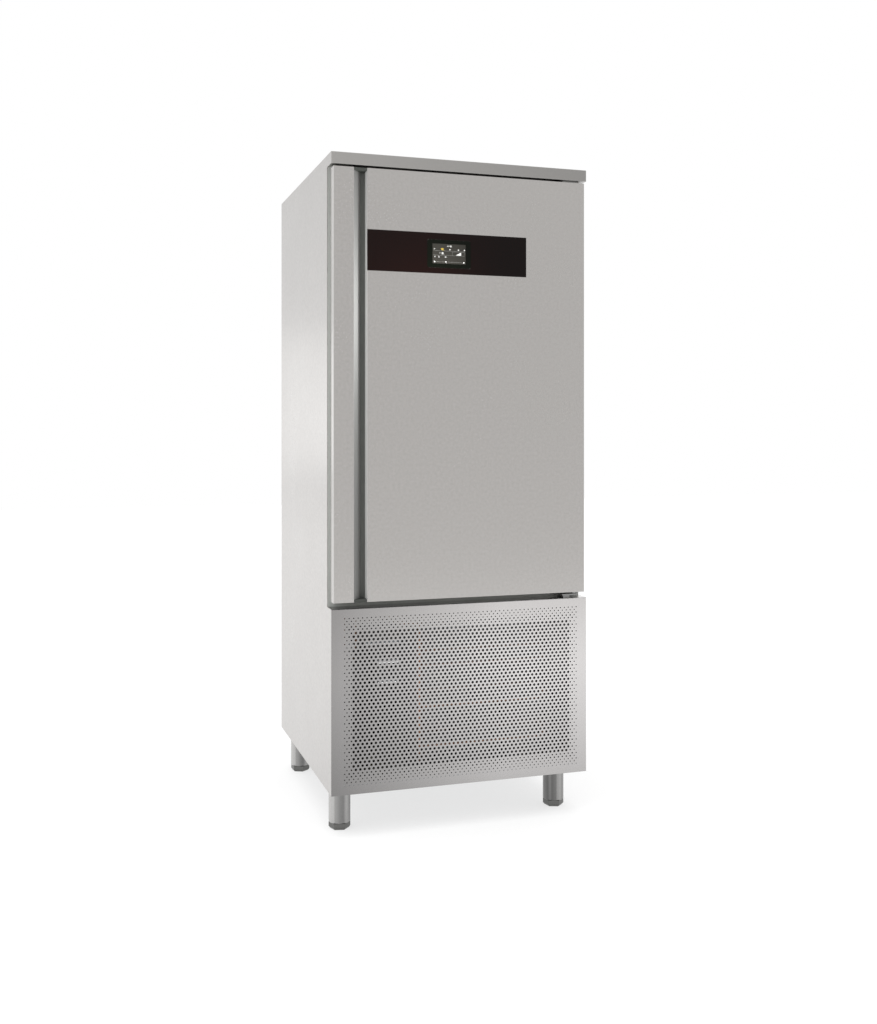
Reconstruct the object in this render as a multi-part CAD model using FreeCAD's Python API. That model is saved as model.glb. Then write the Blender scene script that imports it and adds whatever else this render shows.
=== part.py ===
import FreeCAD, Part
import math
import os

os.makedirs("parts", exist_ok=True)
Vector = FreeCAD.Vector
UP = Vector(0, 0, 1)
BACKWARD = Vector(0, 1, 0)
RIGHTWARD = Vector(1, 0, 0)

# An upright blast chiller: an insulated chamber with tray runners over a machine compartment.
# Millimetres. +X is to the right of someone facing the door, +Y is towards the back, +Z is up.
# The origin is on the floor, under the middle of the cabinet.

# ---- Driving dimensions: the cabinet ----
WIDTH = 790.0
DEPTH = 800.0
HEIGHT = 1950.0
SHEET = 1.5
LEFT = -WIDTH / 2
RIGHT = WIDTH / 2
FRONT = -DEPTH / 2
REAR = DEPTH / 2
INSIDE = RIGHT - SHEET
LEG_HEIGHT = 125.0
LOWER_TOP = 653.0
CELL_BOTTOM = 657.0
LINTEL_BOTTOM = 1916.0
CELL_FRONT = FRONT + 56.0
REAR_FACE = REAR - 12.0
FLANGE = 15.0
FRAME_TUBE = 30.0
LEG_PLATE = 90.0
LEG_PLATE_THICKNESS = 5.0
DECK_THICKNESS = 2.0
DECK_TOP = LEG_HEIGHT + FRAME_TUBE + DECK_THICKNESS
VENT_ROWS = 5
VENT_LOWEST = LEG_HEIGHT + 130.0
VENT_PITCH = 70.0
VENT_SIZE = (190.0, 12.0)
VENT_LEFTS = (-325.0, -95.0, 135.0)
LOUVRE_REACH = 8.0
LOUVRE_EDGE = 2.7
GLAND_X = -330.0
GLAND_Z = 200.0
GLAND_RADIUS = 12.0
GLAND_NUT = 6.0
GLAND_NUT_RADIUS = 17.0
CABLE_RADIUS = 6.0

# ---- Driving dimensions: the legs ----
LEG_RADIUS = 32.0
LEG_X = {"left": -348.0, "right": 330.5}
LEG_Y = {"front": -298.0, "rear": 298.0}
FOOT_HEIGHT = 19.0
FOOT_BEVEL = 5.0
FOOT_SOLE_RADIUS = 28.0
FOOT_STEM = 12.0
FOOT_PLAY = 1.0
STEM_CLEARANCE = 0.5
STEM_TOP = LEG_HEIGHT - 10.0
STEM_END_GAP = 4.0

# ---- Driving dimensions: the chamber ----
CHAMBER_HALF = 335.0
CHAMBER_FLOOR = 715.0
CHAMBER_TOP = 1865.0
CHAMBER_BACK = 330.0
CHAMBER_RADIUS = 20.0
SURROUND_DEPTH = 10.0
DRAIN_Y = 250.0
DRAIN_RADIUS = 12.5
DRAIN_WALL = 2.0
DRAIN_PLAY = 1.5
SPOUT_RADIUS = 15.0
SPOUT_END = 95.0
SPOUT_TOP = 120.0
TRAY_LEVELS = 16
TRAY_PITCH = 65.0
FIRST_TRAY = 775.0
TRAY_FRONT = -320.0
TRAY_REAR = 80.0
POST_WIDTH = 15.0
POST_DEPTH = 20.0
POST_END_GAP = 25.0
RUNNER_REACH = 24.0
RUNNER_LIP = 12.0

# ---- Driving dimensions: the door ----
DOOR_SIDE_GAP = 6.5
DOOR_LEFT = LEFT + DOOR_SIDE_GAP
DOOR_RIGHT = RIGHT - DOOR_SIDE_GAP
DOOR_BOTTOM = 670.5
DOOR_TOP = 1909.5
DOOR_BACK = FRONT + 40.0
STRIP_RIGHT = LEFT + 65.0
LIP_X = LEFT + 104.5
SLOPE_WIDTH = 26.0
SLOPE_DEPTH = 30.0
POCKET_DEPTH = 36.0
LIP_DEPTH = 26.0
LIP_RETURN = 12.5
POCKET_LEFT = STRIP_RIGHT + SLOPE_WIDTH
POCKET_RIGHT = LIP_X + LIP_RETURN
GRIP_THICKNESS = 2.0
CAP_THICKNESS = 8.0
CAP_RECESS = 1.2
PLUG_DEPTH = 18.0
PLUG_MARGIN = 17.0
PLUG_TAPER = 8.0
GASKET_INNER = 336.0
GASKET_WIDTH = 22.0
GASKET_GAP = 0.3
GROOVE_DEPTH = 4.0
HINGE_X = 360.5
HINGE_Y = FRONT + 18.0
HINGE_PIN = 6.0
HINGE_FIT = 0.1
BUSH_RADIUS = 10.0
BUSH_LENGTH = 35.0
PIN_REACH = 28.0
BRACKET_THICKNESS = 4.5
BRACKET_RISE = 7.0
SENSOR_Z = 1780.0
MAGNET_Y = (DOOR_BACK - SHEET - 10, DOOR_BACK - SHEET)

# ---- Driving dimensions: the controls in the door ----
GLASS_LEFT = LIP_X
GLASS_WIDTH = 489.0
GLASS_BOTTOM = 1617.0
GLASS_HEIGHT = 118.0
GLASS_THICKNESS = 1.0
BEZEL_LEFT = LEFT + 284.0
BEZEL_WIDTH = 134.0
BEZEL_BOTTOM = 1634.0
BEZEL_HEIGHT = 81.5
BEZEL_RADIUS = 5.0
SCREEN_WIDTH = 102.0
SCREEN_HEIGHT = 58.0
SCREEN_RISE = 12.0
HOUSING_DEPTH = 16.0
HOUSING_MARGIN = 14.0

# ---- Driving dimensions: the perforated panel ----
HOLE_LEFT = LEFT + 38.7
HOLE_RIGHT = RIGHT - 33.4
HOLE_MARGIN_Z = 27.0
HOLE_COLUMNS = 12
HOLE_ROWS = 9
HOLE_SIZES = (5.0, 8.0, 13.0)
HOLE_SIDES = 6

# ---- Driving dimensions: fans ----
FAN_HEIGHTS = {"lower": 930.0, "middle": 1290.0, "upper": 1650.0}
FAN_RADIUS = 120.0
BAFFLE_HALF = 295.0
BAFFLE_Y = 110.0
BAFFLE_FOLD = 60.0
FAN_Y = 120.0
HUB_DEPTH = 44.0
HUB_SHARE = 0.28
GUARD_RADII = (FAN_RADIUS + 16, FAN_RADIUS * 0.55)
GUARD_DEPTH = 6.0
GUARD_RING_WIDTH = 5.0
GUARD_BAR_WIDTH = 4.0
BLADE_COUNT = 5
BLADE_PITCH = 32.0
BLADE_THICKNESS = 3.0
MOUTH_CLEARANCE = 8.0
SHAFT_RADIUS = 6.0
SHAFT_REACH = 24.0
SHAFT_CLEARANCE = 0.6
MOTOR_GAP = 6.0
MOTOR_DEPTH = 58.0
MOTOR_SHOULDER = 8.0
MOTOR_RADIUS = 42.0
MOTOR_SPAN = 20.0
BAR_WIDTH = 24.0
BAR_THICKNESS = 3.0

# ---- Driving dimensions: the refrigeration circuit ----
FIN_THICKNESS = 1.0
COIL_RADIUS = 6.0
COIL_SPREAD = 14.0
COIL_BEND = 12.0
COIL_END = 20.0
HEADER_RADIUS = 9.0
EVAPORATOR_HALF = 260.0
EVAPORATOR_DEPTH = 72.0
EVAPORATOR_Y = CHAMBER_BACK - SHEET - EVAPORATOR_DEPTH
EVAPORATOR_FINS = 20
EVAPORATOR_ROWS = 4
EVAPORATOR_ROW_PITCH = 250.0
EVAPORATOR_ROW_RISE = 70.0
CATCH_HALF = 274.0
CATCH_HEIGHT = 25.0
CATCH_WALL = 2.0
CATCH_FRONT = EVAPORATOR_Y - 20.0
CONDENSER_X = 90.0
CONDENSER_Y = -330.0
CONDENSER_HALF = 185.0
CONDENSER_HEIGHT = 400.0
CONDENSER_DEPTH = 80.0
CONDENSER_FINS = 16
CONDENSER_ROWS = 3
CONDENSER_ROW_PITCH = 120.0
CONDENSER_ROW_RISE = 40.0
SHROUD_HALF = 215.0
SHROUD_GAP = 30.0
CONDENSER_FAN_RADIUS = 140.0
COMPRESSOR_X = -200.0
COMPRESSOR_Y = 190.0
COMPRESSOR_RADIUS = 95.0
MOUNT_HEIGHT = 22.0
RECEIVER_X = 60.0
RECEIVER_Y = 210.0
RECEIVER_RADIUS = 50.0
RECEIVER_HEIGHT = 250.0
DRIER_Y = 85.0
DRIER_HALF = 60.0
DRIER_RADIUS = 20.0
DRIER_Z = DECK_TOP + 120.0
SHELL_TOP = DECK_TOP + MOUNT_HEIGHT + 244.0
CONDENSER_HEADER_X = CONDENSER_X - CONDENSER_HALF - 12.0
CONDENSER_HEADER_TOP = DECK_TOP + 380.0
PIPE_RADIUS = 7.0
HEADER_X = -290.0
COIL_Y = EVAPORATOR_Y + EVAPORATOR_DEPTH / 2
CONDENSER_COIL_Y = CONDENSER_Y + CONDENSER_DEPTH / 2
PIPE_BEND = 30.0
LIQUID_BEND = 18.0
SHELL_PORT = 20.0
SUCTION_RUN = 560.0
LIQUID_RUN = 575.0
DISCHARGE_RUN = 590.0
RISER_RUN = 620.0
RISER_TOP = 775.0
VALVE_LOW = 430.0
VALVE_HIGH = 480.0
VALVE_Y = -20.0
BOX_X = (170.0, 370.0)
BOX_Y = (120.0, 330.0)
BOX_HEIGHT = 152.0
BOX_LID = 8.0
BOX_OVERHANG = 5.0

# ---- How finely round pieces inside the cabinet are cut ----
PIPE_SIDES = 6
BEND_STEPS = 2
SMALL_SIDES = 8
DRUM_SIDES = 12
RING_SIDES = 12


# ---- Shapes used in more than one place ----
def block(x, y, z):
    """A box from three (low, high) pairs."""
    return Part.makeBox(x[1] - x[0], y[1] - y[0], z[1] - z[0], Vector(x[0], y[0], z[0]))


def rod(radius, start, end):
    """A round bar from one point to another."""
    run = Vector(*end) - Vector(*start)
    return Part.makeCylinder(radius, run.Length, Vector(*start), run)


def polygon(centre, radius, sides, normal):
    """The corners of a regular polygon about a centre, square to its normal."""
    side_on = RIGHTWARD if abs(normal.x) < 0.9 else UP
    first = normal.cross(side_on).normalize()
    second = normal.cross(first).normalize()
    corners = []
    for step in range(sides):
        angle = 2 * math.pi * (step + 0.5) / sides
        corners.append(centre + first * radius * math.cos(angle) + second * radius * math.sin(angle))
    return corners


def outline_face(corners):
    """A flat face with straight edges."""
    return Part.Face(Part.makePolygon(corners + corners[:1]))


def skinned(sections):
    """A solid whose flat sides join one polygon to the next."""
    faces = [outline_face(sections[0]), outline_face(sections[-1])]
    for here, there in zip(sections, sections[1:]):
        for place in range(len(here)):
            after = (place + 1) % len(here)
            faces.append(outline_face([here[place], here[after], there[after], there[place]]))
    shell = Part.Shell(faces)
    shell.sewShape()
    solid = Part.Solid(shell)
    return solid if solid.Volume > 0 else solid.reversed()


def prism(radius, start, end, sides):
    """A bar with a regular polygon for its section."""
    run = Vector(*end) - Vector(*start)
    direction = Vector(*end) - Vector(*start)
    corners = polygon(Vector(*start), radius, sides, direction.normalize())
    return outline_face(corners).extrude(run)


def turned(centre, direction, profile, sides):
    """A turned piece from (distance along its axis, radius) pairs."""
    centre = Vector(*centre)
    direction = Vector(*direction)
    sections = []
    for along, radius in profile:
        sections.append(polygon(centre + direction * along, radius, sides, direction))
    return skinned(sections)


def extrude(points, direction):
    """A closed outline pushed along a direction."""
    return outline_face([Vector(*point) for point in points]).extrude(Vector(*direction))


def joined(shapes):
    """Several touching or overlapping shapes made into one solid."""
    return shapes[0].fuse(shapes[1:]).removeSplitter()


def rounded_block(x, y, z, radius):
    """A box whose four edges along Y are rounded."""
    shape = block(x, y, z)
    edges = [e for e in shape.Edges if abs(e.tangentAt(e.FirstParameter).y) > 0.99]
    return shape.makeFillet(radius, edges)


def inner_path(path):
    """A path of XY points moved one sheet thickness to its left."""
    normals = []
    for a, b in zip(path, path[1:]):
        length = math.dist(a, b)
        normals.append(((a[1] - b[1]) / length, (b[0] - a[0]) / length))
    moved = []
    for place, point in enumerate(path):
        before = normals[max(place - 1, 0)]
        after = normals[min(place, len(normals) - 1)]
        spread = 1 + before[0] * after[0] + before[1] * after[1]
        shift_x = SHEET * (before[0] + after[0]) / spread
        shift_y = SHEET * (before[1] + after[1]) / spread
        moved.append((point[0] + shift_x, point[1] + shift_y))
    return moved


def folded_sheet(path, low, high):
    """A sheet whose outer face follows a path of XY points, standing from low to high."""
    outline = [(x, y, low) for x, y in path + inner_path(path)[::-1]]
    return extrude(outline, (0, 0, high - low))


def bend_points(before, corner, after, bend):
    """The points of one rounded corner of a pipe's centre line."""
    along = (corner - before).normalize()
    away = (after - corner).normalize()
    turn = along.getAngle(away)
    start = corner - along * bend * math.tan(turn / 2)
    outward = (along - away).normalize()
    centre = corner - outward * bend / math.cos(turn / 2)
    axis = along.cross(away).normalize()
    arm = start - centre
    points = []
    for step in range(BEND_STEPS + 1):
        turned_arm = FreeCAD.Rotation(axis, math.degrees(turn) * step / BEND_STEPS).multVec(arm)
        points.append(centre + turned_arm)
    return points


def pipe(corners, radius, bend):
    """A pipe of straight runs with the same bend at each corner, mitred where its spans meet."""
    corners = [Vector(*c) for c in corners]
    route = corners[:1]
    for before, corner, after in zip(corners, corners[1:], corners[2:]):
        route.extend(bend_points(before, corner, after, bend))
    route.append(corners[-1])
    runs = [(b - a).normalize() for a, b in zip(route, route[1:])]
    sections = [polygon(route[0], radius, PIPE_SIDES, runs[0])]
    for place, point in enumerate(route[1:]):
        run = runs[place]
        mitre = run + runs[min(place + 1, len(runs) - 1)]
        sections.append([c + run * ((point - c).dot(mitre) / run.dot(mitre)) for c in sections[-1]])
    return skinned(sections)


def save(name, *solids):
    """Writes one node, which holds one solid or several alike."""
    shape = solids[0] if len(solids) == 1 else Part.makeCompound(list(solids))
    shape.exportStep(f"parts/{name}.step")


# ---- The outer cabinet ----
def side_panel(side):
    """A flat side, cut back along the door, with a return at its rear edge."""
    face = side * RIGHT
    outline = [
        (face, FRONT + SHEET, LEG_HEIGHT),
        (face, REAR, LEG_HEIGHT),
        (face, REAR, HEIGHT),
        (face, FRONT + SHEET, HEIGHT),
        (face, FRONT + SHEET, LINTEL_BOTTOM),
        (face, CELL_FRONT, LINTEL_BOTTOM),
        (face, CELL_FRONT, LOWER_TOP),
        (face, FRONT + SHEET, LOWER_TOP),
    ]
    sheet = extrude(outline, (-side * SHEET, 0, 0))
    reach = sorted((face, face - side * FLANGE))
    rear_return = block(reach, (REAR - SHEET, REAR), (LEG_HEIGHT, HEIGHT))
    return joined([sheet, rear_return])


def lintel():
    """The band over the door: a front face and an underside that reaches back to the cell."""
    outline = [
        (-INSIDE, FRONT, HEIGHT),
        (-INSIDE, FRONT, LINTEL_BOTTOM),
        (-INSIDE, CELL_FRONT, LINTEL_BOTTOM),
        (-INSIDE, CELL_FRONT, LINTEL_BOTTOM + SHEET),
        (-INSIDE, FRONT + SHEET, LINTEL_BOTTOM + SHEET),
        (-INSIDE, FRONT + SHEET, HEIGHT),
    ]
    angle = extrude(outline, (2 * INSIDE, 0, 0))
    face = block((LEFT, RIGHT), (FRONT, FRONT + SHEET), (LINTEL_BOTTOM, HEIGHT))
    return joined([angle, face])


def hole_size(column, row, columns):
    """The perforation fades towards its edges in two steps."""
    ring = min(column, columns - 1 - column, row, HOLE_ROWS - 1 - row)
    return HOLE_SIZES[min(ring, len(HOLE_SIZES) - 1)]


def perforation():
    """Staggered rows of punches, each row half a pitch from the next."""
    pitch_x = (HOLE_RIGHT - HOLE_LEFT) / (HOLE_COLUMNS - 1)
    pitch_z = (LOWER_TOP - LEG_HEIGHT - 2 * HOLE_MARGIN_Z) / (HOLE_ROWS - 1)
    punches = []
    for row in range(HOLE_ROWS):
        columns = HOLE_COLUMNS - row % 2
        first = HOLE_LEFT + row % 2 * pitch_x / 2
        z = LEG_HEIGHT + HOLE_MARGIN_Z + row * pitch_z
        for column in range(columns):
            x = first + column * pitch_x
            radius = hole_size(column, row, columns) / 2
            punches.append(prism(radius, (x, FRONT - 1, z), (x, FRONT + SHEET + 1, z), HOLE_SIDES))
    return Part.makeCompound(punches)


def perforated_panel():
    """The lower front, folded back along its top to the cell and along its sides."""
    sheet = block((LEFT, RIGHT), (FRONT, FRONT + SHEET), (LEG_HEIGHT, LOWER_TOP))
    pieces = [sheet.cut(perforation())]
    pieces.append(block((-INSIDE, INSIDE), (FRONT + SHEET, CELL_FRONT), (LOWER_TOP - SHEET, LOWER_TOP)))
    for side in (-1, 1):
        reach = sorted((side * INSIDE, side * (INSIDE - SHEET)))
        pieces.append(block(reach, (FRONT + SHEET, FRONT + FLANGE), (DECK_TOP, LOWER_TOP - SHEET)))
    return joined(pieces)


def base_frame():
    """A rectangular frame of box section with a plate over each leg."""
    z = (LEG_HEIGHT, LEG_HEIGHT + FRAME_TUBE)
    outer = block((-INSIDE, INSIDE), (FRONT + SHEET, REAR_FACE), z)
    hole_x = (FRAME_TUBE - INSIDE, INSIDE - FRAME_TUBE)
    inner = block(hole_x, (FRONT + FRAME_TUBE, REAR_FACE - FRAME_TUBE), z)
    pieces = [outer.cut(inner)]
    half = LEG_PLATE / 2
    for x in LEG_X.values():
        for y in LEG_Y.values():
            plate_z = (LEG_HEIGHT, LEG_HEIGHT + LEG_PLATE_THICKNESS)
            plate = block((x - half, x + half), (y - half, y + half), plate_z)
            pieces.append(plate.common(block((-INSIDE, INSIDE), (FRONT + SHEET, REAR_FACE), z)))
    return joined(pieces)


def compartment_deck():
    """The floor of the machine compartment, holed for the drain pipe."""
    z = (DECK_TOP - DECK_THICKNESS, DECK_TOP)
    deck = block((-INSIDE, INSIDE), (FRONT + FLANGE, REAR_FACE), z)
    low = (0, DRAIN_Y, z[0] - 1)
    high = (0, DRAIN_Y, z[1] + 1)
    return deck.cut(prism(DRAIN_RADIUS + DRAIN_PLAY, low, high, SMALL_SIDES))


def louvre(x, face, low):
    """The flap over one vent, pressed out of the sheet and sloping down from the vent's top edge."""
    top = low + VENT_SIZE[1]
    outline = [
        (x, face, top),
        (x, face, top + LOUVRE_EDGE),
        (x, face + LOUVRE_REACH, low + LOUVRE_EDGE),
        (x, face + LOUVRE_REACH, low),
    ]
    return extrude(outline, (VENT_SIZE[0], 0, 0))


def rear_grille():
    """The removable lower back, with three columns of louvred vents and the cable entry."""
    y = (REAR_FACE, REAR_FACE + SHEET)
    panel = block((-INSIDE, INSIDE), y, (LEG_HEIGHT, CELL_BOTTOM))
    vents = []
    louvres = []
    for row in range(VENT_ROWS):
        z = VENT_LOWEST + row * VENT_PITCH
        for x in VENT_LEFTS:
            vents.append(block((x, x + VENT_SIZE[0]), (y[0] - 1, y[1] + 1), (z, z + VENT_SIZE[1])))
            louvres.append(louvre(x, y[1], z))
    entry = rod(GLAND_RADIUS, (GLAND_X, y[0] - 1, GLAND_Z), (GLAND_X, y[1] + 1, GLAND_Z))
    return joined([panel.cut(Part.makeCompound(vents + [entry]))] + louvres)


def cable_gland():
    """The cable entry: a nut inside, a body through the back and a cap outside."""
    inner_end = (GLAND_X, REAR_FACE - GLAND_NUT, GLAND_Z)
    inner_face = (GLAND_X, REAR_FACE, GLAND_Z)
    outer_face = (GLAND_X, REAR_FACE + SHEET, GLAND_Z)
    nut = prism(GLAND_NUT_RADIUS, inner_end, inner_face, 6)
    body = prism(GLAND_RADIUS, inner_end, outer_face, SMALL_SIDES)
    cap = prism(GLAND_NUT_RADIUS, outer_face, (GLAND_X, REAR - 1, GLAND_Z), 6)
    bore = rod(CABLE_RADIUS, (GLAND_X, REAR_FACE - 2 * GLAND_NUT, GLAND_Z), (GLAND_X, REAR, GLAND_Z))
    return joined([nut, body, cap]).cut(bore)


def leg_tube(x, y):
    """A round leg with the bore that the levelling foot's stem runs in."""
    low = FOOT_HEIGHT + FOOT_PLAY
    tube = rod(LEG_RADIUS, (x, y, low), (x, y, LEG_HEIGHT))
    bore = prism(FOOT_STEM + STEM_CLEARANCE, (x, y, low - 1), (x, y, STEM_TOP + STEM_END_GAP), SMALL_SIDES)
    return tube.cut(bore)


def levelling_foot(x, y):
    """A hexagonal foot with a bevelled sole and a stem that screws into the leg."""
    profile = [(0, FOOT_SOLE_RADIUS), (FOOT_BEVEL, LEG_RADIUS), (FOOT_HEIGHT, LEG_RADIUS)]
    body = turned((x, y, 0), (0, 0, 1), profile, 6)
    stem = prism(FOOT_STEM, (x, y, FOOT_HEIGHT), (x, y, STEM_TOP), SMALL_SIDES)
    return joined([body, stem])


def save_cabinet():
    """The panels, frame and legs of the outer cabinet."""
    upper_back = (CELL_BOTTOM, HEIGHT - SHEET)
    roof_y = (FRONT + SHEET, REAR - SHEET)
    save("left_side_panel", side_panel(-1))
    save("right_side_panel", side_panel(1))
    save("rear_panel", block((-INSIDE, INSIDE), (REAR_FACE, REAR_FACE + SHEET), upper_back))
    save("roof_panel", block((-INSIDE, INSIDE), roof_y, (HEIGHT - SHEET, HEIGHT)))
    save("lintel", lintel())
    save("perforated_panel", perforated_panel())
    save("base_frame", base_frame())
    save("compartment_deck", compartment_deck())
    save("rear_grille", rear_grille())
    save("cable_gland", cable_gland())
    save("leg_tubes", *[leg_tube(x, y) for x in LEG_X.values() for y in LEG_Y.values()])
    for across, x in LEG_X.items():
        for along, y in LEG_Y.items():
            save(f"foot_{along}_{across}", levelling_foot(x, y))


# ---- The insulated cell and its chamber ----
def chamber_space(inset, y):
    """The chamber's rounded hollow, smaller by an inset all round."""
    x = (inset - CHAMBER_HALF, CHAMBER_HALF - inset)
    z = (CHAMBER_FLOOR + inset, CHAMBER_TOP - inset)
    return rounded_block(x, y, z, CHAMBER_RADIUS - inset)


def pass_through(low, high):
    """The holes for the drain and the two refrigerant pipes through the floor of the cell."""
    holes = [prism(DRAIN_RADIUS + DRAIN_PLAY, (0, DRAIN_Y, low), (0, DRAIN_Y, high), SMALL_SIDES)]
    for y in (COIL_Y - COIL_SPREAD, COIL_Y + COIL_SPREAD):
        holes.append(prism(PIPE_RADIUS + 3, (HEADER_X, y, low), (HEADER_X, y, high), PIPE_SIDES))
    return Part.makeCompound(holes)


def chamber_liner():
    """A radiused steel box, open to the front, holed in its floor for the drain and the pipe."""
    front = CELL_FRONT + SURROUND_DEPTH
    outer = chamber_space(0, (front, CHAMBER_BACK))
    inner = chamber_space(SHEET, (front - 1, CHAMBER_BACK - SHEET))
    return outer.cut(inner).cut(pass_through(CHAMBER_FLOOR - 1, CHAMBER_FLOOR + 5))


def door_surround():
    """The dark frame round the chamber mouth that the door gasket closes on."""
    back = CELL_FRONT + SURROUND_DEPTH
    outer = block((-INSIDE, INSIDE), (CELL_FRONT, back), (LOWER_TOP, LINTEL_BOTTOM))
    sensor = magnet_place((CELL_FRONT, back))
    return outer.cut(Part.makeCompound([chamber_space(SHEET, (CELL_FRONT - 1, back + 1)), sensor]))


def insulation_shell():
    """The foam between the outer panels and the chamber liner."""
    front = CELL_FRONT + SURROUND_DEPTH
    foam = block((-INSIDE, INSIDE), (front, REAR_FACE), (CELL_BOTTOM, HEIGHT - SHEET))
    chamber = chamber_space(0, (front - 1, CHAMBER_BACK))
    return foam.cut(chamber).cut(pass_through(CELL_BOTTOM - 1, CHAMBER_FLOOR + 1))


def chamber_drain():
    """The drain pipe from the chamber floor, through the deck, to a spout under the cabinet."""
    top = CHAMBER_FLOOR + SHEET
    outer = prism(DRAIN_RADIUS, (0, DRAIN_Y, SPOUT_TOP), (0, DRAIN_Y, top), SMALL_SIDES)
    spout = rod(SPOUT_RADIUS, (0, DRAIN_Y, SPOUT_END), (0, DRAIN_Y, SPOUT_TOP))
    bore_radius = DRAIN_RADIUS - DRAIN_WALL
    bore = prism(bore_radius, (0, DRAIN_Y, SPOUT_END - 1), (0, DRAIN_Y, top + 1), SMALL_SIDES)
    return joined([outer, spout]).cut(bore)


def tray_runner(side, level):
    """One angle bar: its upright leg is fixed to the posts and its flat leg carries a tray."""
    z = FIRST_TRAY + level * TRAY_PITCH
    wall = side * (CHAMBER_HALF - SHEET - POST_WIDTH)
    edge = wall - side * RUNNER_REACH
    inner = wall - side * SHEET
    outline = [
        (wall, TRAY_FRONT, z),
        (edge, TRAY_FRONT, z),
        (edge, TRAY_FRONT, z + SHEET),
        (inner, TRAY_FRONT, z + SHEET),
        (inner, TRAY_FRONT, z + RUNNER_LIP),
        (wall, TRAY_FRONT, z + RUNNER_LIP),
    ]
    return extrude(outline, (0, TRAY_REAR - TRAY_FRONT, 0))


def rack_post(side, y):
    """An upright on the chamber's side wall."""
    wall = side * (CHAMBER_HALF - SHEET)
    reach = sorted((wall, wall - side * POST_WIDTH))
    z = (CHAMBER_FLOOR + POST_END_GAP, CHAMBER_TOP - POST_END_GAP)
    return block(reach, (y - POST_DEPTH / 2, y + POST_DEPTH / 2), z)


def save_cell():
    """The insulated cell, its chamber and the tray rack."""
    posts = (TRAY_FRONT + 40, TRAY_REAR - 40)
    save("insulation_shell", insulation_shell())
    save("chamber_liner", chamber_liner())
    save("door_surround", door_surround())
    save("door_sensor", magnet_place((CELL_FRONT, CELL_FRONT + SURROUND_DEPTH)))
    save("chamber_drain", chamber_drain())
    save("rack_posts", *[rack_post(side, y) for side in (-1, 1) for y in posts])
    save("tray_runners", *[tray_runner(side, level) for side in (-1, 1) for level in range(TRAY_LEVELS)])


# ---- Fans, in the chamber and behind the condenser ----
def fan_baffle():
    """The sheet between the trays and the evaporator, folded back at its sides, with three fan mouths."""
    path = [
        (-BAFFLE_HALF, BAFFLE_Y + BAFFLE_FOLD),
        (-BAFFLE_HALF, BAFFLE_Y),
        (BAFFLE_HALF, BAFFLE_Y),
        (BAFFLE_HALF, BAFFLE_Y + BAFFLE_FOLD),
    ]
    sheet = folded_sheet(path, CHAMBER_FLOOR + SHEET, CHAMBER_TOP - SHEET)
    for z in FAN_HEIGHTS.values():
        mouth = FAN_RADIUS + MOUTH_CLEARANCE
        sheet = sheet.cut(prism(mouth, (0, BAFFLE_Y - 5, z), (0, BAFFLE_Y + 5, z), RING_SIDES))
    return sheet


def fan_guard(z):
    """A flat guard: two rings joined by a cross."""
    front = BAFFLE_Y - GUARD_DEPTH
    pieces = []
    for radius in GUARD_RADII:
        ring = prism(radius, (0, front, z), (0, BAFFLE_Y, z), RING_SIDES)
        hole = prism(radius - GUARD_RING_WIDTH, (0, front - 1, z), (0, BAFFLE_Y + 1, z), RING_SIDES)
        pieces.append(ring.cut(hole))
    reach = max(GUARD_RADII) - GUARD_RING_WIDTH / 2
    half = GUARD_BAR_WIDTH / 2
    bar = (front, front + BAR_THICKNESS)
    pieces.append(block((-reach, reach), bar, (z - half, z + half)))
    pieces.append(block((-half, half), bar, (z - reach, z + reach)))
    return joined(pieces)


def fan_blade(hub, radius):
    """One flat blade with a swept tip, pitched about its own length."""
    outline = [
        (-0.13 * radius, 0, hub - 3),
        (0.13 * radius, 0, hub - 3),
        (0.30 * radius, 0, 0.80 * radius),
        (0.22 * radius, 0, 0.93 * radius),
        (0, 0, 0.98 * radius),
        (-0.20 * radius, 0, 0.92 * radius),
        (-0.26 * radius, 0, 0.75 * radius),
    ]
    blade = extrude(outline, (0, BLADE_THICKNESS, 0))
    blade.rotate(Vector(0, 0, 0), UP, BLADE_PITCH)
    return blade


def fan_rotor(centre, radius):
    """A hub with pitched blades and the stub of its shaft, which points at the motor."""
    x, y, z = centre
    hub = HUB_SHARE * radius
    back = y + HUB_DEPTH
    pieces = [prism(hub, (x, y, z), (x, back, z), DRUM_SIDES)]
    pieces.append(prism(SHAFT_RADIUS, (x, back, z), (x, back + SHAFT_REACH, z), SMALL_SIDES))
    for place in range(BLADE_COUNT):
        blade = fan_blade(hub, radius)
        blade.rotate(Vector(0, 0, 0), BACKWARD, place * 360.0 / BLADE_COUNT)
        blade.translate(Vector(x, y + HUB_DEPTH / 2, z))
        pieces.append(blade)
    return joined(pieces)


def fan_motor(centre, span, carrier_y):
    """A round motor on a flat bar whose two feet reach forward to the sheet that carries it."""
    x, y, z = centre
    face = y + HUB_DEPTH + MOTOR_GAP
    half = BAR_WIDTH / 2
    radius = MOTOR_RADIUS
    profile = [(0, radius), (MOTOR_DEPTH - MOTOR_SHOULDER, radius), (MOTOR_DEPTH, radius - MOTOR_SHOULDER)]
    pieces = [turned((x, face, z), (0, 1, 0), profile, DRUM_SIDES)]
    pieces.append(block((x - span, x + span), (face, face + BAR_THICKNESS), (z - half, z + half)))
    for side in (-1, 1):
        reach = sorted((x + side * span, x + side * (span - BAR_THICKNESS)))
        pieces.append(block(reach, (carrier_y, face + BAR_THICKNESS), (z - half, z + half)))
    bearing = SHAFT_RADIUS + SHAFT_CLEARANCE
    shaft_end = y + HUB_DEPTH + SHAFT_REACH + 2
    return joined(pieces).cut(prism(bearing, (x, face - 1, z), (x, shaft_end, z), SMALL_SIDES))


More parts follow.
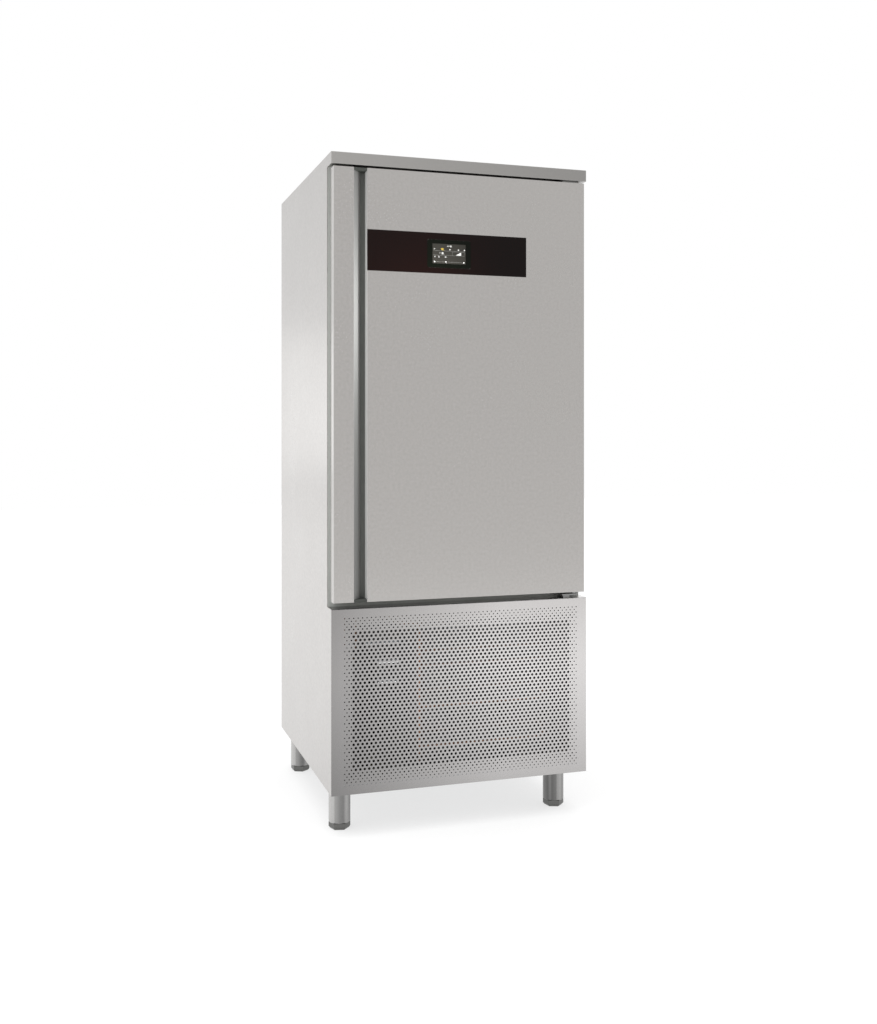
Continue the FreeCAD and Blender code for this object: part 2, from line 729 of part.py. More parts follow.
def save_fans():
    """The baffle with its three fans, and the condenser's shroud with its one."""
    centres = {name: (0, FAN_Y, z) for name, z in FAN_HEIGHTS.items()}
    span = FAN_RADIUS + MOTOR_SPAN
    save("fan_baffle", fan_baffle())
    save("fan_guards", *[fan_guard(z) for z in FAN_HEIGHTS.values()])
    save("fan_motors", *[fan_motor(centre, span, BAFFLE_Y + SHEET) for centre in centres.values()])
    for name, centre in centres.items():
        save(f"fan_rotor_{name}", fan_rotor(centre, FAN_RADIUS))
    shroud_y = CONDENSER_Y + CONDENSER_DEPTH + SHROUD_GAP
    middle = (CONDENSER_X, shroud_y - GUARD_DEPTH, DECK_TOP + CONDENSER_HEIGHT / 2)
    save("condenser_shroud", condenser_shroud(shroud_y))
    save("condenser_motor", fan_motor(middle, CONDENSER_FAN_RADIUS + MOTOR_SPAN, shroud_y))
    save("condenser_fan_rotor", fan_rotor(middle, CONDENSER_FAN_RADIUS))


# ---- The refrigeration circuit ----
def fin_pack(x_range, y, z, count):
    """Thin plates side by side, square to X."""
    step = (x_range[1] - x_range[0] - FIN_THICKNESS) / (count - 1)
    return [block((x_range[0] + n * step, x_range[0] + n * step + FIN_THICKNESS), y, z) for n in range(count)]


def hairpin_coil(ends, y, levels, spacing):
    """Hairpin pipes through the fins, fed from two upright headers at one end."""
    near_y = y - COIL_SPREAD
    far_y = y + COIL_SPREAD
    pieces = []
    for z in levels:
        corners = [
            (ends[0], near_y, z),
            (ends[1], near_y, z),
            (ends[1], far_y, z + spacing),
            (ends[0], far_y, z + spacing),
        ]
        pieces.append(pipe(corners, COIL_RADIUS, COIL_BEND))
    low = levels[0] - spacing
    high = levels[-1] + 2 * spacing
    for header_y in (near_y, far_y):
        pieces.append(prism(HEADER_RADIUS, (ends[0], header_y, low), (ends[0], header_y, high), PIPE_SIDES))
    return joined(pieces)


def condenser_shroud(back):
    """The plate behind the condenser with the mouth for its fan, and folded sides."""
    path = [
        (CONDENSER_X + SHROUD_HALF, CONDENSER_Y),
        (CONDENSER_X + SHROUD_HALF, back),
        (CONDENSER_X - SHROUD_HALF, back),
        (CONDENSER_X - SHROUD_HALF, CONDENSER_Y),
    ]
    shroud = folded_sheet(path, DECK_TOP, DECK_TOP + CONDENSER_HEIGHT)
    middle = DECK_TOP + CONDENSER_HEIGHT / 2
    mouth_radius = CONDENSER_FAN_RADIUS + MOUTH_CLEARANCE
    before = (CONDENSER_X, back - 5, middle)
    behind = (CONDENSER_X, back + 5, middle)
    return shroud.cut(prism(mouth_radius, before, behind, RING_SIDES))


def compressor():
    """A welded hermetic shell: a drum with domed ends, a terminal box and a foot plate."""
    x = COMPRESSOR_X
    y = COMPRESSOR_Y
    base = DECK_TOP + MOUNT_HEIGHT
    profile = [(0, 55), (14, 82), (45, COMPRESSOR_RADIUS), (185, COMPRESSOR_RADIUS), (218, 80), (240, 42)]
    shell = turned((x, y, base + 4), (0, 0, 1), profile, DRUM_SIDES)
    terminals = block((x - 35, x + 35), (y - 125, y - 80), (base + 90, base + 160))
    plate = block((x - 110, x + 110), (y - 90, y + 90), (base, base + 6))
    return joined([shell, terminals, plate])


def compressor_mount(x, y):
    """A waisted rubber bush between the deck and the compressor's plate."""
    profile = [(0, 15), (MOUNT_HEIGHT / 2, 10), (MOUNT_HEIGHT, 15)]
    return turned((x, y, DECK_TOP), (0, 0, 1), profile, PIPE_SIDES)


def liquid_receiver():
    """An upright pressure vessel with domed ends on a narrower foot."""
    radius = RECEIVER_RADIUS
    top = RECEIVER_HEIGHT
    profile = [(0, 32), (16, 32), (26, radius), (top - 30, radius), (top - 8, 36), (top, 14)]
    return turned((RECEIVER_X, RECEIVER_Y, DECK_TOP), (0, 0, 1), profile, DRUM_SIDES)


def filter_drier():
    """A short cylinder with a cone at each end, in line with the liquid pipe."""
    shoulder = DRIER_HALF - 15
    profile = [(-DRIER_HALF, 7), (-shoulder, DRIER_RADIUS), (shoulder, DRIER_RADIUS), (DRIER_HALF, 7)]
    return turned((RECEIVER_X, DRIER_Y, DRIER_Z), (0, 1, 0), profile, SMALL_SIDES)


def expansion_valve():
    """The valve in the liquid pipe, with its round head to one side."""
    middle = (VALVE_LOW + VALVE_HIGH) / 2
    length = VALVE_HIGH - VALVE_LOW
    body_profile = [(0, 9), (10, 15), (length - 10, 15), (length, 9)]
    head_profile = [(0, 8), (24, 8), (26, 22), (34, 22), (38, 12)]
    body = turned((RECEIVER_X, VALVE_Y, VALVE_LOW), (0, 0, 1), body_profile, PIPE_SIDES)
    head = turned((RECEIVER_X, VALVE_Y, middle), (1, 0, 0), head_profile, SMALL_SIDES)
    return joined([body, head])


def discharge_pipe():
    """From the top of the compressor, over the shroud, to the condenser's front header."""
    x = COMPRESSOR_X + SHELL_PORT
    over = DISCHARGE_RUN
    header_y = CONDENSER_COIL_Y - COIL_SPREAD
    corners = [
        (x, COMPRESSOR_Y, SHELL_TOP),
        (x, COMPRESSOR_Y, over),
        (x, header_y, over),
        (CONDENSER_HEADER_X, header_y, over),
        (CONDENSER_HEADER_X, header_y, CONDENSER_HEADER_TOP),
    ]
    return pipe(corners, PIPE_RADIUS, PIPE_BEND)


def liquid_pipes():
    """Condenser to receiver, receiver to drier, drier to valve and valve to evaporator."""
    over = LIQUID_RUN
    rise = RISER_RUN
    header_y = CONDENSER_COIL_Y + COIL_SPREAD
    to_receiver = [
        (CONDENSER_HEADER_X, header_y, CONDENSER_HEADER_TOP),
        (CONDENSER_HEADER_X, header_y, over),
        (CONDENSER_HEADER_X, RECEIVER_Y, over),
        (RECEIVER_X, RECEIVER_Y, over),
        (RECEIVER_X, RECEIVER_Y, DECK_TOP + RECEIVER_HEIGHT),
    ]
    receiver_face = RECEIVER_Y - RECEIVER_RADIUS * math.cos(math.pi / DRUM_SIDES)
    to_valve = [
        (RECEIVER_X, DRIER_Y - DRIER_HALF, DRIER_Z),
        (RECEIVER_X, VALVE_Y, DRIER_Z),
        (RECEIVER_X, VALVE_Y, VALVE_LOW),
    ]
    to_evaporator = [
        (RECEIVER_X, VALVE_Y, VALVE_HIGH),
        (RECEIVER_X, VALVE_Y, rise),
        (HEADER_X, VALVE_Y, rise),
        (HEADER_X, COIL_Y - COIL_SPREAD, rise),
        (HEADER_X, COIL_Y - COIL_SPREAD, RISER_TOP),
    ]
    drier_end = (RECEIVER_X, DRIER_Y + DRIER_HALF, DRIER_Z)
    from_receiver = prism(PIPE_RADIUS, drier_end, (RECEIVER_X, receiver_face, DRIER_Z), PIPE_SIDES)
    bent = [pipe(corners, PIPE_RADIUS, LIQUID_BEND) for corners in (to_receiver, to_valve, to_evaporator)]
    return bent + [from_receiver]


def suction_pipe():
    """From the evaporator's rear header down to the top of the compressor."""
    x = COMPRESSOR_X - SHELL_PORT
    over = SUCTION_RUN
    corners = [
        (HEADER_X, COIL_Y + COIL_SPREAD, RISER_TOP),
        (HEADER_X, COIL_Y + COIL_SPREAD, over),
        (x, COIL_Y + COIL_SPREAD, over),
        (x, COMPRESSOR_Y, over),
        (x, COMPRESSOR_Y, SHELL_TOP),
    ]
    return pipe(corners, PIPE_RADIUS, PIPE_BEND)


def evaporator_tray():
    """The tray that catches the evaporator's water, with its outlet over the drain."""
    low = CHAMBER_FLOOR + SHEET
    high = low + CATCH_HEIGHT
    back = CHAMBER_BACK - SHEET
    half = CATCH_HALF - CATCH_WALL
    outer = block((-CATCH_HALF, CATCH_HALF), (CATCH_FRONT, back), (low, high))
    inner = block((-half, half), (CATCH_FRONT + CATCH_WALL, back - CATCH_WALL), (low + CATCH_WALL, high + 1))
    outlet_radius = DRAIN_RADIUS - DRAIN_WALL
    outlet = prism(outlet_radius, (0, DRAIN_Y, low - 1), (0, DRAIN_Y, low + CATCH_WALL + 1), PIPE_SIDES)
    return outer.cut(inner).cut(outlet)


def electrical_box():
    """A closed box under the cell, with an overhanging lid on its front."""
    z = (CELL_BOTTOM - BOX_HEIGHT, CELL_BOTTOM)
    box = block(BOX_X, BOX_Y, z)
    lid_x = (BOX_X[0] - BOX_OVERHANG, BOX_X[1] + BOX_OVERHANG)
    lid = block(lid_x, (BOX_Y[0] - BOX_LID, BOX_Y[0]), (z[0] - BOX_OVERHANG, z[1]))
    return joined([box, lid])


def save_circuit():
    """Evaporator, condenser, compressor, receiver, drier, valve and the pipes between them."""
    fins_x = (-EVAPORATOR_HALF, EVAPORATOR_HALF)
    fins_y = (EVAPORATOR_Y, EVAPORATOR_Y + EVAPORATOR_DEPTH)
    fins_z = (CHAMBER_FLOOR + 60, CHAMBER_TOP - 60)
    lowest = RISER_TOP + EVAPORATOR_ROW_RISE
    levels = [lowest + EVAPORATOR_ROW_PITCH * row for row in range(EVAPORATOR_ROWS)]
    save("evaporator_fins", *fin_pack(fins_x, fins_y, fins_z, EVAPORATOR_FINS))
    coil_x = (HEADER_X, EVAPORATOR_HALF + COIL_END)
    save("evaporator_coil", hairpin_coil(coil_x, COIL_Y, levels, EVAPORATOR_ROW_RISE))
    save("evaporator_tray", evaporator_tray())
    fins_x = (CONDENSER_X - CONDENSER_HALF, CONDENSER_X + CONDENSER_HALF)
    fins_y = (CONDENSER_Y + 5, CONDENSER_Y + CONDENSER_DEPTH)
    fins_z = (DECK_TOP, DECK_TOP + CONDENSER_HEIGHT)
    lowest = DECK_TOP + CONDENSER_ROW_RISE + 20
    levels = [lowest + CONDENSER_ROW_PITCH * row for row in range(CONDENSER_ROWS)]
    coil_x = (CONDENSER_HEADER_X, CONDENSER_X + CONDENSER_HALF + COIL_END)
    save("condenser_fins", *fin_pack(fins_x, fins_y, fins_z, CONDENSER_FINS))
    save("condenser_coil", hairpin_coil(coil_x, CONDENSER_COIL_Y, levels, CONDENSER_ROW_RISE))
    save("compressor", compressor())
    mounts = [(COMPRESSOR_X + dx, COMPRESSOR_Y + dy) for dx in (-85, 85) for dy in (-65, 65)]
    save("compressor_mounts", *[compressor_mount(x, y) for x, y in mounts])
    save("liquid_receiver", liquid_receiver())
    save("filter_drier", filter_drier())
    save("expansion_valve", expansion_valve())
    save("discharge_pipe", discharge_pipe())
    save("liquid_pipes", *liquid_pipes())
    save("suction_pipe", suction_pipe())
    save("electrical_box", electrical_box())


# ---- The door ----
def handle_path():
    """The handle in section: a flat strip, a slope down into the channel and the finger pocket."""
    return [
        (DOOR_LEFT, DOOR_BACK),
        (DOOR_LEFT, FRONT),
        (STRIP_RIGHT, FRONT),
        (POCKET_LEFT, FRONT + SLOPE_DEPTH),
        (POCKET_LEFT, FRONT + POCKET_DEPTH),
        (POCKET_RIGHT, FRONT + POCKET_DEPTH),
        (POCKET_RIGHT, FRONT + LIP_DEPTH),
    ]


def front_path():
    """The main front in section: the lip over the pocket, the face and the right edge."""
    return [
        (POCKET_RIGHT, FRONT + LIP_DEPTH),
        (LIP_X, FRONT + LIP_DEPTH),
        (LIP_X, FRONT),
        (DOOR_RIGHT, FRONT),
        (DOOR_RIGHT, DOOR_BACK),
    ]


def door_core(low, high):
    """The space inside the door's skins, from low to high."""
    path = inner_path(handle_path()) + inner_path(front_path())
    core = extrude([(x, y, low) for x, y in path], (0, 0, high - low))
    return core.common(block((DOOR_LEFT, DOOR_RIGHT), (FRONT, DOOR_BACK - SHEET), (low, high)))


def bush_levels():
    """Where the two bushes lie along the hinge axis."""
    return ((DOOR_BOTTOM, DOOR_BOTTOM + BUSH_LENGTH), (DOOR_TOP - BUSH_LENGTH, DOOR_TOP))


def bush_bodies():
    """The room that the hinge bushes take in the door."""
    bodies = []
    for low, high in bush_levels():
        bodies.append(prism(BUSH_RADIUS, (HINGE_X, HINGE_Y, low), (HINGE_X, HINGE_Y, high), SMALL_SIDES))
    return bodies


def end_plates(left, right):
    """The plates that close the door's skins at the bottom and the top, from left to right."""
    plates = []
    for low in (DOOR_BOTTOM, DOOR_TOP - SHEET):
        reach = block((left, right), (FRONT, DOOR_BACK), (low, low + SHEET))
        plates.append(door_core(low, low + SHEET).common(reach))
    return plates


def handle_profile():
    """The strip, slope and pocket at the door's left, closed behind at the bottom and the top."""
    skin = folded_sheet(handle_path(), DOOR_BOTTOM, DOOR_TOP)
    return joined([skin] + end_plates(DOOR_LEFT, POCKET_RIGHT + SHEET))


def door_front():
    """The main face with its lip, closed at the top and the bottom, and recessed for the controls."""
    skin = folded_sheet(front_path(), DOOR_BOTTOM, DOOR_TOP)
    ends = end_plates(POCKET_RIGHT + SHEET, DOOR_RIGHT)
    glass_x = (GLASS_LEFT, GLASS_LEFT + GLASS_WIDTH)
    glass_z = (GLASS_BOTTOM, GLASS_BOTTOM + GLASS_HEIGHT)
    recess = block(glass_x, (FRONT, FRONT + GLASS_THICKNESS), glass_z)
    return joined([skin] + ends).cut(Part.makeCompound([recess] + bush_bodies()))


def handle_cap(low):
    """A dark plug that closes one end of the handle channel."""
    slope_x = STRIP_RIGHT + CAP_RECESS * SLOPE_WIDTH / SLOPE_DEPTH
    outline = [
        (slope_x, FRONT + CAP_RECESS, low),
        (POCKET_LEFT, FRONT + SLOPE_DEPTH, low),
        (POCKET_LEFT, FRONT + POCKET_DEPTH, low),
        (POCKET_RIGHT, FRONT + POCKET_DEPTH, low),
        (POCKET_RIGHT, FRONT + LIP_DEPTH, low),
        (LIP_X, FRONT + LIP_DEPTH, low),
        (LIP_X, FRONT + CAP_RECESS, low),
    ]
    return extrude(outline, (0, 0, CAP_THICKNESS))


def grip_strip():
    """The dark lining on the floor of the finger pocket."""
    y = (FRONT + POCKET_DEPTH - GRIP_THICKNESS, FRONT + POCKET_DEPTH)
    return block((POCKET_LEFT, POCKET_RIGHT), y, (DOOR_BOTTOM + CAP_THICKNESS, DOOR_TOP - CAP_THICKNESS))


def magnet_place(y):
    """The small block that the door's magnet, or the sensor across the gap, takes up."""
    return block((DOOR_LEFT + 4, DOOR_LEFT + 24), y, (SENSOR_Z, SENSOR_Z + 50))


def control_housing():
    """The box behind the control glass that holds the electronics."""
    x = (GLASS_LEFT + HOUSING_MARGIN, GLASS_LEFT + GLASS_WIDTH - HOUSING_MARGIN)
    return block(x, (FRONT + SHEET, FRONT + HOUSING_DEPTH), (GLASS_BOTTOM, GLASS_BOTTOM + GLASS_HEIGHT))


def door_foam():
    """The insulation inside the door, shaped round the handle, the bushes, the controls and the magnet."""
    core = door_core(DOOR_BOTTOM + SHEET, DOOR_TOP - SHEET)
    magnet = magnet_place(MAGNET_Y)
    return core.cut(Part.makeCompound(bush_bodies() + [control_housing(), magnet]))


def hinge_bush(body, low, high):
    """A bush, blind at its inner end, that turns on its pin."""
    return body.cut(rod(HINGE_PIN + HINGE_FIT, (HINGE_X, HINGE_Y, low), (HINGE_X, HINGE_Y, high)))


def hinge_bracket(plate, pin):
    """A bracket on the cabinet: a tapered plate and the pin that the door turns on."""
    outline = [
        (HINGE_X - 63, CELL_FRONT, plate[0]),
        (HINGE_X - 50, CELL_FRONT - 22, plate[0]),
        (HINGE_X - 38, HINGE_Y - 8, plate[0]),
        (HINGE_X + 10, HINGE_Y - 8, plate[0]),
        (HINGE_X + 12, CELL_FRONT, plate[0]),
    ]
    body = extrude(outline, (0, 0, plate[1] - plate[0]))
    return joined([body, rod(HINGE_PIN, (HINGE_X, HINGE_Y, pin[0]), (HINGE_X, HINGE_Y, pin[1]))])


def lower_hinge_bracket():
    """The bracket that carries the door, on a foot that stands on the fold of the lower front."""
    low = LOWER_TOP + BRACKET_RISE
    high = low + BRACKET_THICKNESS
    foot = block((HINGE_X - 36, HINGE_X - 14), (HINGE_Y - 4, CELL_FRONT), (LOWER_TOP, low))
    return joined([hinge_bracket((low, high), (high, DOOR_BOTTOM + PIN_REACH)), foot])


def plug_section(inset, y):
    """The rectangle of the door's plug at one depth."""
    half = CHAMBER_HALF - PLUG_MARGIN - inset
    low = CHAMBER_FLOOR + PLUG_MARGIN + inset
    high = CHAMBER_TOP - PLUG_MARGIN - inset
    return [Vector(-half, y, low), Vector(half, y, low), Vector(half, y, high), Vector(-half, y, high)]


def door_liner():
    """The inner sheet, pressed out into a shallow tapered plug that enters the chamber mouth."""
    x = (DOOR_LEFT + SHEET, DOOR_RIGHT - SHEET)
    sheet = block(x, (DOOR_BACK - SHEET, DOOR_BACK), (DOOR_BOTTOM, DOOR_TOP))
    plug = skinned([plug_section(0, DOOR_BACK), plug_section(PLUG_TAPER, DOOR_BACK + PLUG_DEPTH)])
    return joined([sheet, plug])


def door_gasket():
    """The magnetic seal: a ring of square section with a bellows groove round its outside."""
    back = CELL_FRONT - GASKET_GAP
    outer = GASKET_INNER + GASKET_WIDTH
    reach = outer - CHAMBER_HALF
    low = CHAMBER_FLOOR - reach
    high = CHAMBER_TOP + reach
    ring = block((-outer, outer), (DOOR_BACK, back), (low, high))
    hole_z = (low + GASKET_WIDTH, high - GASKET_WIDTH)
    hole = block((-GASKET_INNER, GASKET_INNER), (DOOR_BACK, back), hole_z)
    groove_y = (DOOR_BACK + 5, DOOR_BACK + 9)
    wide = block((-outer, outer), groove_y, (low, high))
    core_x = (GROOVE_DEPTH - outer, outer - GROOVE_DEPTH)
    core = block(core_x, groove_y, (low + GROOVE_DEPTH, high - GROOVE_DEPTH))
    return ring.cut(hole).cut(wide.cut(core))


def save_door():
    """The door with its handle, seal, bushes and magnet, and the brackets that it hangs on."""
    lower, upper = bush_bodies()
    upper_plate = (LINTEL_BOTTOM - 4, LINTEL_BOTTOM)
    save("door_front", door_front())
    save("handle_profile", handle_profile())
    save("handle_caps", handle_cap(DOOR_BOTTOM), handle_cap(DOOR_TOP - CAP_THICKNESS))
    save("grip_strip", grip_strip())
    save("door_foam", door_foam())
    save("door_liner", door_liner())
    save("door_gasket", door_gasket())
    save("door_magnet", magnet_place(MAGNET_Y))
    bushes = [
        hinge_bush(lower, DOOR_BOTTOM - 1, DOOR_BOTTOM + PIN_REACH + 2),
        hinge_bush(upper, DOOR_TOP - PIN_REACH - 2, DOOR_TOP + 1),
    ]
    save("hinge_bushes", *bushes)
    save("lower_hinge_bracket", lower_hinge_bracket())
    save("upper_hinge_bracket", hinge_bracket(upper_plate, (DOOR_TOP - PIN_REACH, upper_plate[0])))


# ---- The controls ----
def save_controls():
    """The dark glass with its display, flush with the door's face, and the box behind it."""
    y = (FRONT, FRONT + GLASS_THICKNESS)
    glass_x = (GLASS_LEFT, GLASS_LEFT + GLASS_WIDTH)
    glass = block(glass_x, y, (GLASS_BOTTOM, GLASS_BOTTOM + GLASS_HEIGHT))
    bezel_x = (BEZEL_LEFT, BEZEL_LEFT + BEZEL_WIDTH)
    bezel = rounded_block(bezel_x, y, (BEZEL_BOTTOM, BEZEL_BOTTOM + BEZEL_HEIGHT), BEZEL_RADIUS)
    screen_left = BEZEL_LEFT + (BEZEL_WIDTH - SCREEN_WIDTH) / 2
    screen_low = BEZEL_BOTTOM + SCREEN_RISE
    screen_x = (screen_left, screen_left + SCREEN_WIDTH)
    screen = block(screen_x, y, (screen_low, screen_low + SCREEN_HEIGHT))
    save("control_glass", glass.cut(bezel))
    save("display_bezel", bezel.cut(screen))
    save("display_screen", screen)
    save("control_housing", control_housing())


save_cabinet()
save_cell()
save_fans()
save_circuit()
save_door()
save_controls()
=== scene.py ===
import math
import bmesh
import bpy
from mathutils import Matrix, Vector


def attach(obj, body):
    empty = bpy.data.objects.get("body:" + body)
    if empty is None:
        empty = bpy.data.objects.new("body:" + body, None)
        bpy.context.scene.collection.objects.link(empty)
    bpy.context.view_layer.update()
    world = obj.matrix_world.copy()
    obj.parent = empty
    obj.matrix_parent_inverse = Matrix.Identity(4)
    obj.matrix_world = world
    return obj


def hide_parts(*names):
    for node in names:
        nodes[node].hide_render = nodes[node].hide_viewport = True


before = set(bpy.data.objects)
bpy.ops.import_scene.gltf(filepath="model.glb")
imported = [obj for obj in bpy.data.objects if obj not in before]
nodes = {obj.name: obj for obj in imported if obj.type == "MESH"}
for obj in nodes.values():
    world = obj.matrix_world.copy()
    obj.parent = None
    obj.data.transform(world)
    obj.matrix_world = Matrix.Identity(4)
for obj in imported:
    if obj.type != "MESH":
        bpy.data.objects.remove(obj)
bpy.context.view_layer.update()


# ---- Base frame and compartment floor ----
# A welded rectangle of box section under a folded floor, both galvanised. Everything else
# stands on them, and the legs are bolted to the four plates in the corners.
def socket(group, name, way, kind="NodeSocketFloat", value=None):
    """Adds one named input or output to a node group."""
    made = group.interface.new_socket(name, in_out=way, socket_type=kind)
    if value is not None:
        made.default_value = value


def node_of(tree, kind, **settings):
    """Adds a node and sets its options and its unlinked inputs."""
    made = tree.nodes.new(kind)
    for name, value in settings.items():
        if name in made.inputs:
            made.inputs[name].default_value = value
        else:
            setattr(made, name, value)
    return made


def metal_grain():
    """The polish of rolled sheet: stretched lines, a fine speckle and broad soft patches."""
    group = bpy.data.node_groups.new("sheet_polish", "ShaderNodeTree")
    socket(group, "Line Stretch", "INPUT", "NodeSocketVector", (1, 1, 1))
    socket(group, "Line Scale", "INPUT", value=500)
    socket(group, "Speckle Scale", "INPUT", value=125)
    socket(group, "Patch Scale", "INPUT", value=4)
    socket(group, "Lines", "OUTPUT")
    socket(group, "Speckle", "OUTPUT")
    socket(group, "Patches", "OUTPUT")
    given = group.nodes.new("NodeGroupInput")
    out = group.nodes.new("NodeGroupOutput")
    place = group.nodes.new("ShaderNodeTexCoord")
    stretched = group.nodes.new("ShaderNodeVectorMath")
    stretched.operation = "MULTIPLY"
    group.links.new(place.outputs["Object"], stretched.inputs[0])
    group.links.new(given.outputs["Line Stretch"], stretched.inputs[1])
    lines = node_of(group, "ShaderNodeTexNoise", Detail=3.0, Roughness=0.6)
    group.links.new(stretched.outputs[0], lines.inputs["Vector"])
    group.links.new(given.outputs["Line Scale"], lines.inputs["Scale"])
    group.links.new(lines.outputs["Fac"], out.inputs["Lines"])
    for scale, name in (("Speckle Scale", "Speckle"), ("Patch Scale", "Patches")):
        texture = node_of(group, "ShaderNodeTexNoise", Detail=2.0, Roughness=0.5)
        group.links.new(place.outputs["Object"], texture.inputs["Vector"])
        group.links.new(given.outputs[scale], texture.inputs["Scale"])
        group.links.new(texture.outputs["Fac"], out.inputs[name])
    return group


SHEET_POLISH = metal_grain()


def ranged(tree, value, start, end, low=0.0, high=1.0, smooth=False):
    """A value whose range from start to end becomes one from low to high."""
    made = tree.nodes.new("ShaderNodeMapRange")
    if smooth:
        made.interpolation_type = "SMOOTHSTEP"
    for name, amount in (("From Min", start), ("From Max", end), ("To Min", low), ("To Max", high)):
        made.inputs[name].default_value = amount
    tree.links.new(value, made.inputs["Value"])
    return made.outputs["Result"]


def remap(tree, value, low, high):
    """Spreads the middle of a noise value from low to high."""
    return ranged(tree, value, 0.3, 0.7, low, high)


def joined_values(tree, operation, first, second):
    """Two values added or multiplied; the second may be a number."""
    made = tree.nodes.new("ShaderNodeMath")
    made.operation = operation
    tree.links.new(first, made.inputs[0])
    if isinstance(second, float):
        made.inputs[1].default_value = second
    else:
        tree.links.new(second, made.inputs[1])
    return made.outputs[0]


def toned(tree, amount, first, second):
    """A blend of two colours; the first may be an output."""
    made = tree.nodes.new("ShaderNodeMix")
    made.data_type = "RGBA"
    if isinstance(first, tuple):
        made.inputs["A"].default_value = first
    else:
        tree.links.new(first, made.inputs["A"])
    made.inputs["B"].default_value = second
    tree.links.new(amount, made.inputs["Factor"])
    return made.outputs["Result"]


def two_tones(tree, mask, colour, tone):
    """A colour that runs from a little darker to a little lighter over a mask."""
    darker = (*[channel * (1 - tone) for channel in colour], 1)
    lighter = (*[min(1.0, channel * (1 + tone)) for channel in colour], 1)
    return toned(tree, mask, darker, lighter)


def part_of(tree, vector, axis):
    """One coordinate of a vector."""
    axes = tree.nodes.new("ShaderNodeSeparateXYZ")
    tree.links.new(vector, axes.inputs[0])
    return axes.outputs[axis]


def scaled(tree, colour, amount):
    """A colour times a number or a value."""
    made = tree.nodes.new("ShaderNodeVectorMath")
    made.operation = "SCALE"
    tree.links.new(colour, made.inputs[0])
    if isinstance(amount, float):
        made.inputs["Scale"].default_value = amount
    else:
        tree.links.new(amount, made.inputs["Scale"])
    return made.outputs["Vector"]


def painted_light_ramp(tree, colour, axis, start, end, low, high):
    """Painted light and shade: a colour that grows lighter or darker along one axis, by a factor from low at the
    start to high at the end.
    """
    place = tree.nodes.new("ShaderNodeTexCoord")
    along = part_of(tree, place.outputs["Object"], axis)
    return scaled(tree, colour, ranged(tree, along, start, end, low, high))


def polished(name, metallic):
    """A new material with the polish of rolled sheet beside its shader."""
    material = bpy.data.materials.new(name)
    material.use_nodes = True
    tree = material.node_tree
    shader = tree.nodes["Principled BSDF"]
    shader.inputs["Metallic"].default_value = metallic
    polish = tree.nodes.new("ShaderNodeGroup")
    polish.node_tree = SHEET_POLISH
    return material, tree, shader, polish


def relieve(tree, polish, shader, strength, depth):
    """Raises the speckle of the polish a little from the surface."""
    if strength:
        relief = node_of(tree, "ShaderNodeBump", Strength=strength, Distance=depth)
        tree.links.new(polish.outputs["Speckle"], relief.inputs["Height"])
        tree.links.new(relief.outputs["Normal"], shader.inputs["Normal"])


def sheet_metal(
    name, colour, roughness, stretch=(1, 1, 1), tone=0.04, metallic=1.0, bump=0.04, patch=0.015, painted_light_ramps=()
):
    """A rolled metal: its tone, gloss and surface all vary with the polish, and ramps along an axis paint light and
    shade into its colour.
    """
    material, tree, shader, polish = polished(name, metallic)
    polish.inputs["Line Stretch"].default_value = stretch
    speckle = remap(tree, polish.outputs["Speckle"], 0.0, 0.7)
    mask = joined_values(tree, "ADD", speckle, remap(tree, polish.outputs["Lines"], 0.0, 0.3))
    shade = two_tones(tree, mask, colour, tone)
    # Painted light and shade: each ramp scales the colour lighter or darker along one axis.
    for light_ramp in painted_light_ramps:
        shade = painted_light_ramp(tree, shade, *light_ramp)
    tree.links.new(shade, shader.inputs["Base Color"])
    lines = remap(tree, polish.outputs["Lines"], roughness - 0.02, roughness + 0.02)
    gloss = joined_values(tree, "ADD", lines, remap(tree, polish.outputs["Patches"], -patch, patch))
    tree.links.new(gloss, shader.inputs["Roughness"])
    relieve(tree, polish, shader, bump, 0.0004)
    return material


def finish_nodes(material, *names):
    """Gives CAD nodes their material."""
    for name in names:
        mesh = nodes[name].data
        mesh.materials.clear()
        mesh.materials.append(material)


galvanised = sheet_metal("galvanised_sheet", (0.42, 0.43, 0.44), 0.45, tone=0.10, bump=0.0, patch=0.05)
finish_nodes(galvanised, "base_frame", "compartment_deck")


# ---- Legs and levelling feet ----
# Four stainless tubes, 64 mm across, each bolted under a plate of the frame. A hexagonal foot
# screws into each tube, so the cabinet can be levelled with a spanner.
def piece_from(shape, name, material, body, replaced=(), smooth_angle=35):
    """Turns a bmesh into a piece that rides on its body and stands for its CAD nodes."""
    bmesh.ops.recalc_face_normals(shape, faces=shape.faces)
    mesh = bpy.data.meshes.new(name)
    shape.to_mesh(mesh)
    shape.free()
    mesh.materials.append(material)
    mesh.shade_smooth()
    mesh.set_sharp_from_angle(angle=math.radians(smooth_angle))
    piece = bpy.data.objects.new(name, mesh)
    bpy.context.scene.collection.objects.link(piece)
    weighted = piece.modifiers.new("flat_faces_stay_flat", "WEIGHTED_NORMAL")
    weighted.keep_sharp = True
    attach(piece, body)
    if replaced:
        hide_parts(*replaced)
    return piece


def ring_of(shape, centre, radius, along, sides, axis, turn=0.0):
    """Adds the corners of one circle about an axis."""
    ring = []
    for side in range(sides):
        angle = 2 * math.pi * side / sides + turn
        a = radius * math.cos(angle)
        b = radius * math.sin(angle)
        place = {"X": (along, a, b), "Y": (a, along, b), "Z": (a, b, along)}[axis]
        ring.append(shape.verts.new(Vector(place) + Vector(centre)))
    return ring


def join_rings(shape, rings, closed=False):
    """Adds the faces from each ring to the next, and either the two ends or the last to the first."""
    following = rings[1:] + rings[:1] if closed else rings[1:]
    for low, high in zip(rings, following):
        for side in range(len(low)):
            after = (side + 1) % len(low)
            shape.faces.new((low[side], low[after], high[after], high[side]))
    if not closed:
        shape.faces.new(rings[0][::-1])
        shape.faces.new(rings[-1])


